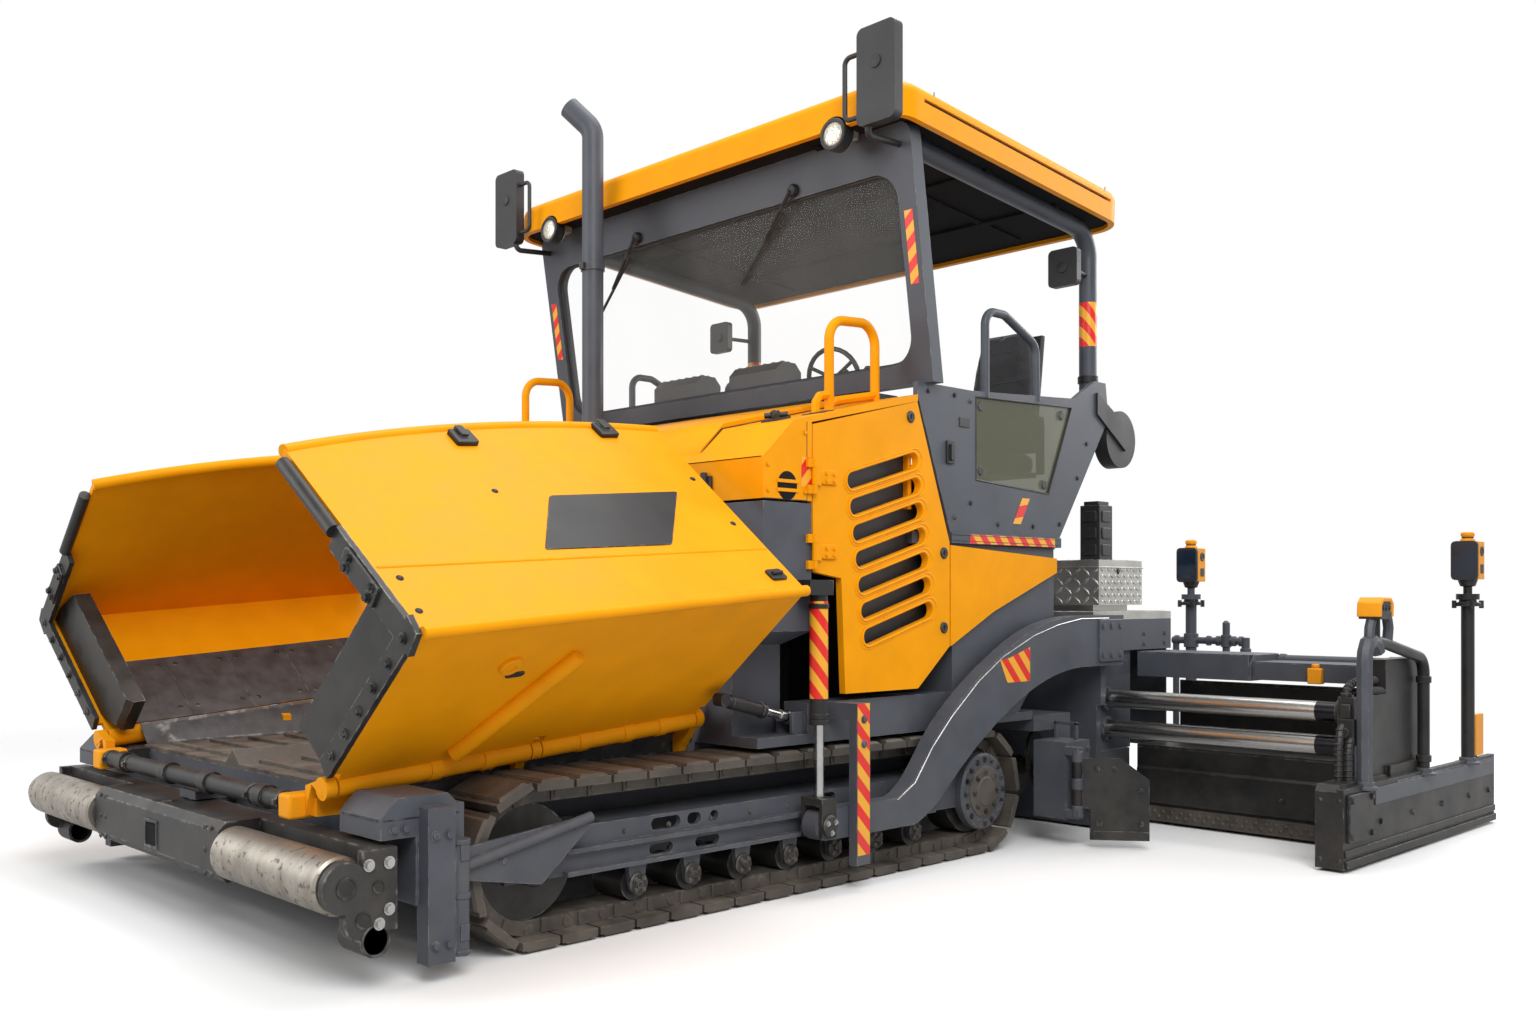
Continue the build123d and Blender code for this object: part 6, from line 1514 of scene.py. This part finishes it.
def turned_over(mesh):
    """Right-hand twin of a left-hand mesh."""
    twin = mesh.copy()
    twin.transform(Matrix.Scale(-1, 4, (0, 1, 0)))
    twin.flip_normals()
    return twin


def run(start, end, steps=16):
    return [Vector(start).lerp(Vector(end), step / steps) for step in range(steps + 1)]


def make_seats():
    """Padded seats with sewn seams, and their shells with arm rests."""
    cushion = swollen(even_mesh(pad_block((-0.985, -0.535), (0.715, 1.145), (1.822, 1.905), waist=0.02)))
    back = swollen(even_mesh(pad_block((-0.985, -0.910), (0.735, 1.125), (1.945, 2.575), lean=0.085, waist=0.03,
                                       crown=0.30)))
    pads = joined_mesh([cushion, back])
    seams = []
    for y in (0.790, 1.070):
        seams.append(seam_on(cushion, run((-0.93, y, 1.95), (-0.56, y, 1.95))))
        seams.append(seam_on(back, run((-0.86, y, 1.99), (-0.93, y, 2.54))))
    for z, x in ((2.13, -0.86), (2.30, -0.88), (2.46, -0.90)):
        seams.append(seam_on(back, run((x, 0.790, z), (x, 1.070, z))))
    seams.append(seam_on(cushion, run((-0.70, 0.790, 1.95), (-0.70, 1.070, 1.95))))
    shell = Shape().block((-0.995, -0.560), (0.735, 1.125), (1.800, 1.826))
    sheared = Matrix(((1, 0, -0.135, 0.135 * 1.93 - 0.028), (0, 1, 0, 0), (0, 0, 1, 0), (0, 0, 0, 1)))
    shell.block((-1.006, -0.975), (0.760, 1.100), (1.93, 2.54), sheared)
    for y in (0.700, 1.160):
        shell.block((-0.960, -0.660), around(y, 0.028), (2.060, 2.100))
        shell.block((-0.985, -0.945), around(y, 0.016), (1.812, 2.075))
    for way, side in ((1, "left"), (-1, "right")):
        mesh = pads.copy() if way > 0 else turned_over(pads)
        soft = piece(mesh, f"seat_pads_{side}", "tractor", "seat_cover", smooth=180)
        smooth = soft.modifiers.new("smooth", "SUBSURF")
        smooth.levels = smooth.render_levels = 1
        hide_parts(f"seat_{side}")
    beads(seams, "seat_seams", "tractor", "seat_cover", 0.0035, closed=False)
    shell.pair("seat_shells", "tractor", "black_plastic", bevel=0.008)


def dress_console():
    """Screens, levers, keys and wheel on the operator's desk and pods."""
    screens = Shape()
    keys = Shape()
    sticks = Shape()
    for y in (0.0, -0.590):
        slope = axes_place((-0.2675, y, 2.3975), (0, 1, 0), (0.7071, 0, 0.7071))
        screens.prism(round_rectangle((-0.075, 0.075), (-0.024, 0.024), 0.006), -0.001, 0.003, slope)
        for index in range(6):
            at = -0.15 + 0.06 * index
            keys.block((-0.215, -0.195), around(y + at, 0.010), (2.418, 2.427))
            keys.block((-0.175, -0.155), around(y + at, 0.010), (2.418, 2.427))
    for y in (-0.70, -0.62, 0.52, 0.66):
        sticks.rod((-0.20, y, 2.185), (-0.225, y, 2.310), 0.008, 12)
        sticks.lathe([(0.008, -0.010), (0.019, 0.000), (0.021, 0.020), (0.012, 0.034), (0.003, 0.036)],
                     offset(-0.225, y, 2.305), 16)
    screens.single("console_screens", "tractor", "tinted_glass", finish="dark_screen")
    keys.single("console_keys", "tractor", "bright_steel", finish="grey_keys", bevel=0.002)
    sticks.single("console_levers", "tractor", "black_plastic", smooth=50)
    wheel = [[(-0.40 + 0.045 * math.sin(turn), 0.30 + 0.165 * math.cos(turn), 2.340 + 0.150 * math.sin(turn))
              for turn in even_turns(28)]]
    beads(wheel, "steering_wheel_rim", "tractor", "black_plastic", 0.013, sides=1)
    spokes = Shape()
    hub = Vector((-0.40, 0.30, 2.340))
    for turn in (0.52, 2.62, 4.71):
        spokes.rod(hub, hub + Vector((0.045 * math.sin(turn), 0.160 * math.cos(turn), 0.145 * math.sin(turn))), 0.010,
                   10)
    spokes.rod(hub + Vector((-0.018, 0, 0.004)), (-0.200, 0.30, 2.185), 0.026, 18)
    spokes.single("steering_wheel_hub", "tractor", "black_plastic")


# Stage
def place_camera():
    camera = bpy.data.objects.new("camera", bpy.data.cameras.new("camera"))
    camera.location = CAMERA_PLACE
    camera.rotation_euler = (math.radians(CAMERA_PITCH), 0, math.radians(CAMERA_YAW))
    camera.data.lens = LENS
    camera.data.sensor_width = 36
    camera.data.shift_x, camera.data.shift_y = SHIFT
    camera.data.clip_end = 200
    scene.collection.objects.link(camera)
    scene.camera = camera


def area_light(name, place, aim, size, power):
    lamp = bpy.data.lights.new(name, "AREA")
    lamp.shape = "DISK"
    lamp.size = size
    lamp.energy = power
    made = bpy.data.objects.new(name, lamp)
    made.location = place
    made.rotation_euler = (Vector(aim) - Vector(place)).to_track_quat("-Z", "Y").to_euler()
    scene.collection.objects.link(made)


def white_world():
    """White to the eye and in reflections, dimmer as a light."""
    world = bpy.data.worlds.new("studio")
    scene.world = world
    world.use_nodes = True
    tree = world.node_tree
    path = add_node(tree, "ShaderNodeLightPath").outputs
    seen = math_node(tree, "MAXIMUM", path["Is Camera Ray"], path["Is Transmission Ray"])
    seen = math_node(tree, "MAXIMUM", seen, math_node(tree, "MULTIPLY", path["Is Glossy Ray"], 0.75))
    strength = map_range(tree, seen, 0.0, 1.0, 0.42, 1.0)
    feed(tree, tree.nodes["Background"], {"Color": (1, 1, 1, 1), "Strength": strength})


def pale_floor():
    """Round pale floor that fades out into the white."""
    radius = 12.0
    mesh = bpy.data.meshes.new("floor")
    shape = bmesh.new()
    bmesh.ops.create_circle(shape, cap_ends=True, segments=96, radius=radius)
    shape.to_mesh(mesh)
    shape.free()
    floor = bpy.data.objects.new("floor", mesh)
    floor.location.z = -0.002
    scene.collection.objects.link(floor)
    tree, shader = new_material("floor")
    seen = add_node(tree, "ShaderNodeLightPath").outputs["Is Camera Ray"]
    tint = mix_colour(tree, seen, (0.56, 0.56, 0.56, 1), (0.93, 0.93, 0.93, 1))
    feed(tree, shader, {"Base Color": tint, "Roughness": 0.9})
    far = add_node(tree, "ShaderNodeVectorMath", {0: object_place(tree)}, operation="LENGTH").outputs["Value"]
    fade = map_range(tree, far, 3.6, 8.0)
    clear = add_node(tree, "ShaderNodeBsdfTransparent")
    blend = add_node(tree, "ShaderNodeMixShader", {0: fade, 1: shader.outputs[0], 2: clear.outputs[0]})
    tree.links.new(blend.outputs[0], tree.nodes["Material Output"].inputs["Surface"])
    mesh.materials.append(FINISH["floor"])


def light_studio():
    area_light("key", (5.5, 7.5, 7.5), (0, 0.5, 1.0), 6.0, 700)
    area_light("fill", (7.5, -3.5, 4.5), (0.5, 0, 1.0), 6.0, 280)
    area_light("top", (-1.0, 1.0, 9.5), (0, 0, 0), 7.0, 460)
    area_light("back", (-7.5, 3.0, 5.0), (-1.0, 0, 1.0), 5.0, 280)


place_camera()
dress_nodes()
dress_wings()
dress_hopper()
dress_push_beam()
dress_crossbeam()
dress_tracks()
dress_doors()
dress_hood()
dress_platform()
dress_roof()
dress_hazard_films()
dress_arms()
dress_screed()
dress_extensions()
dress_rails()
dress_tunnel()
dress_augers()
make_seats()
dress_console()
white_world()
pale_floor()
light_studio()
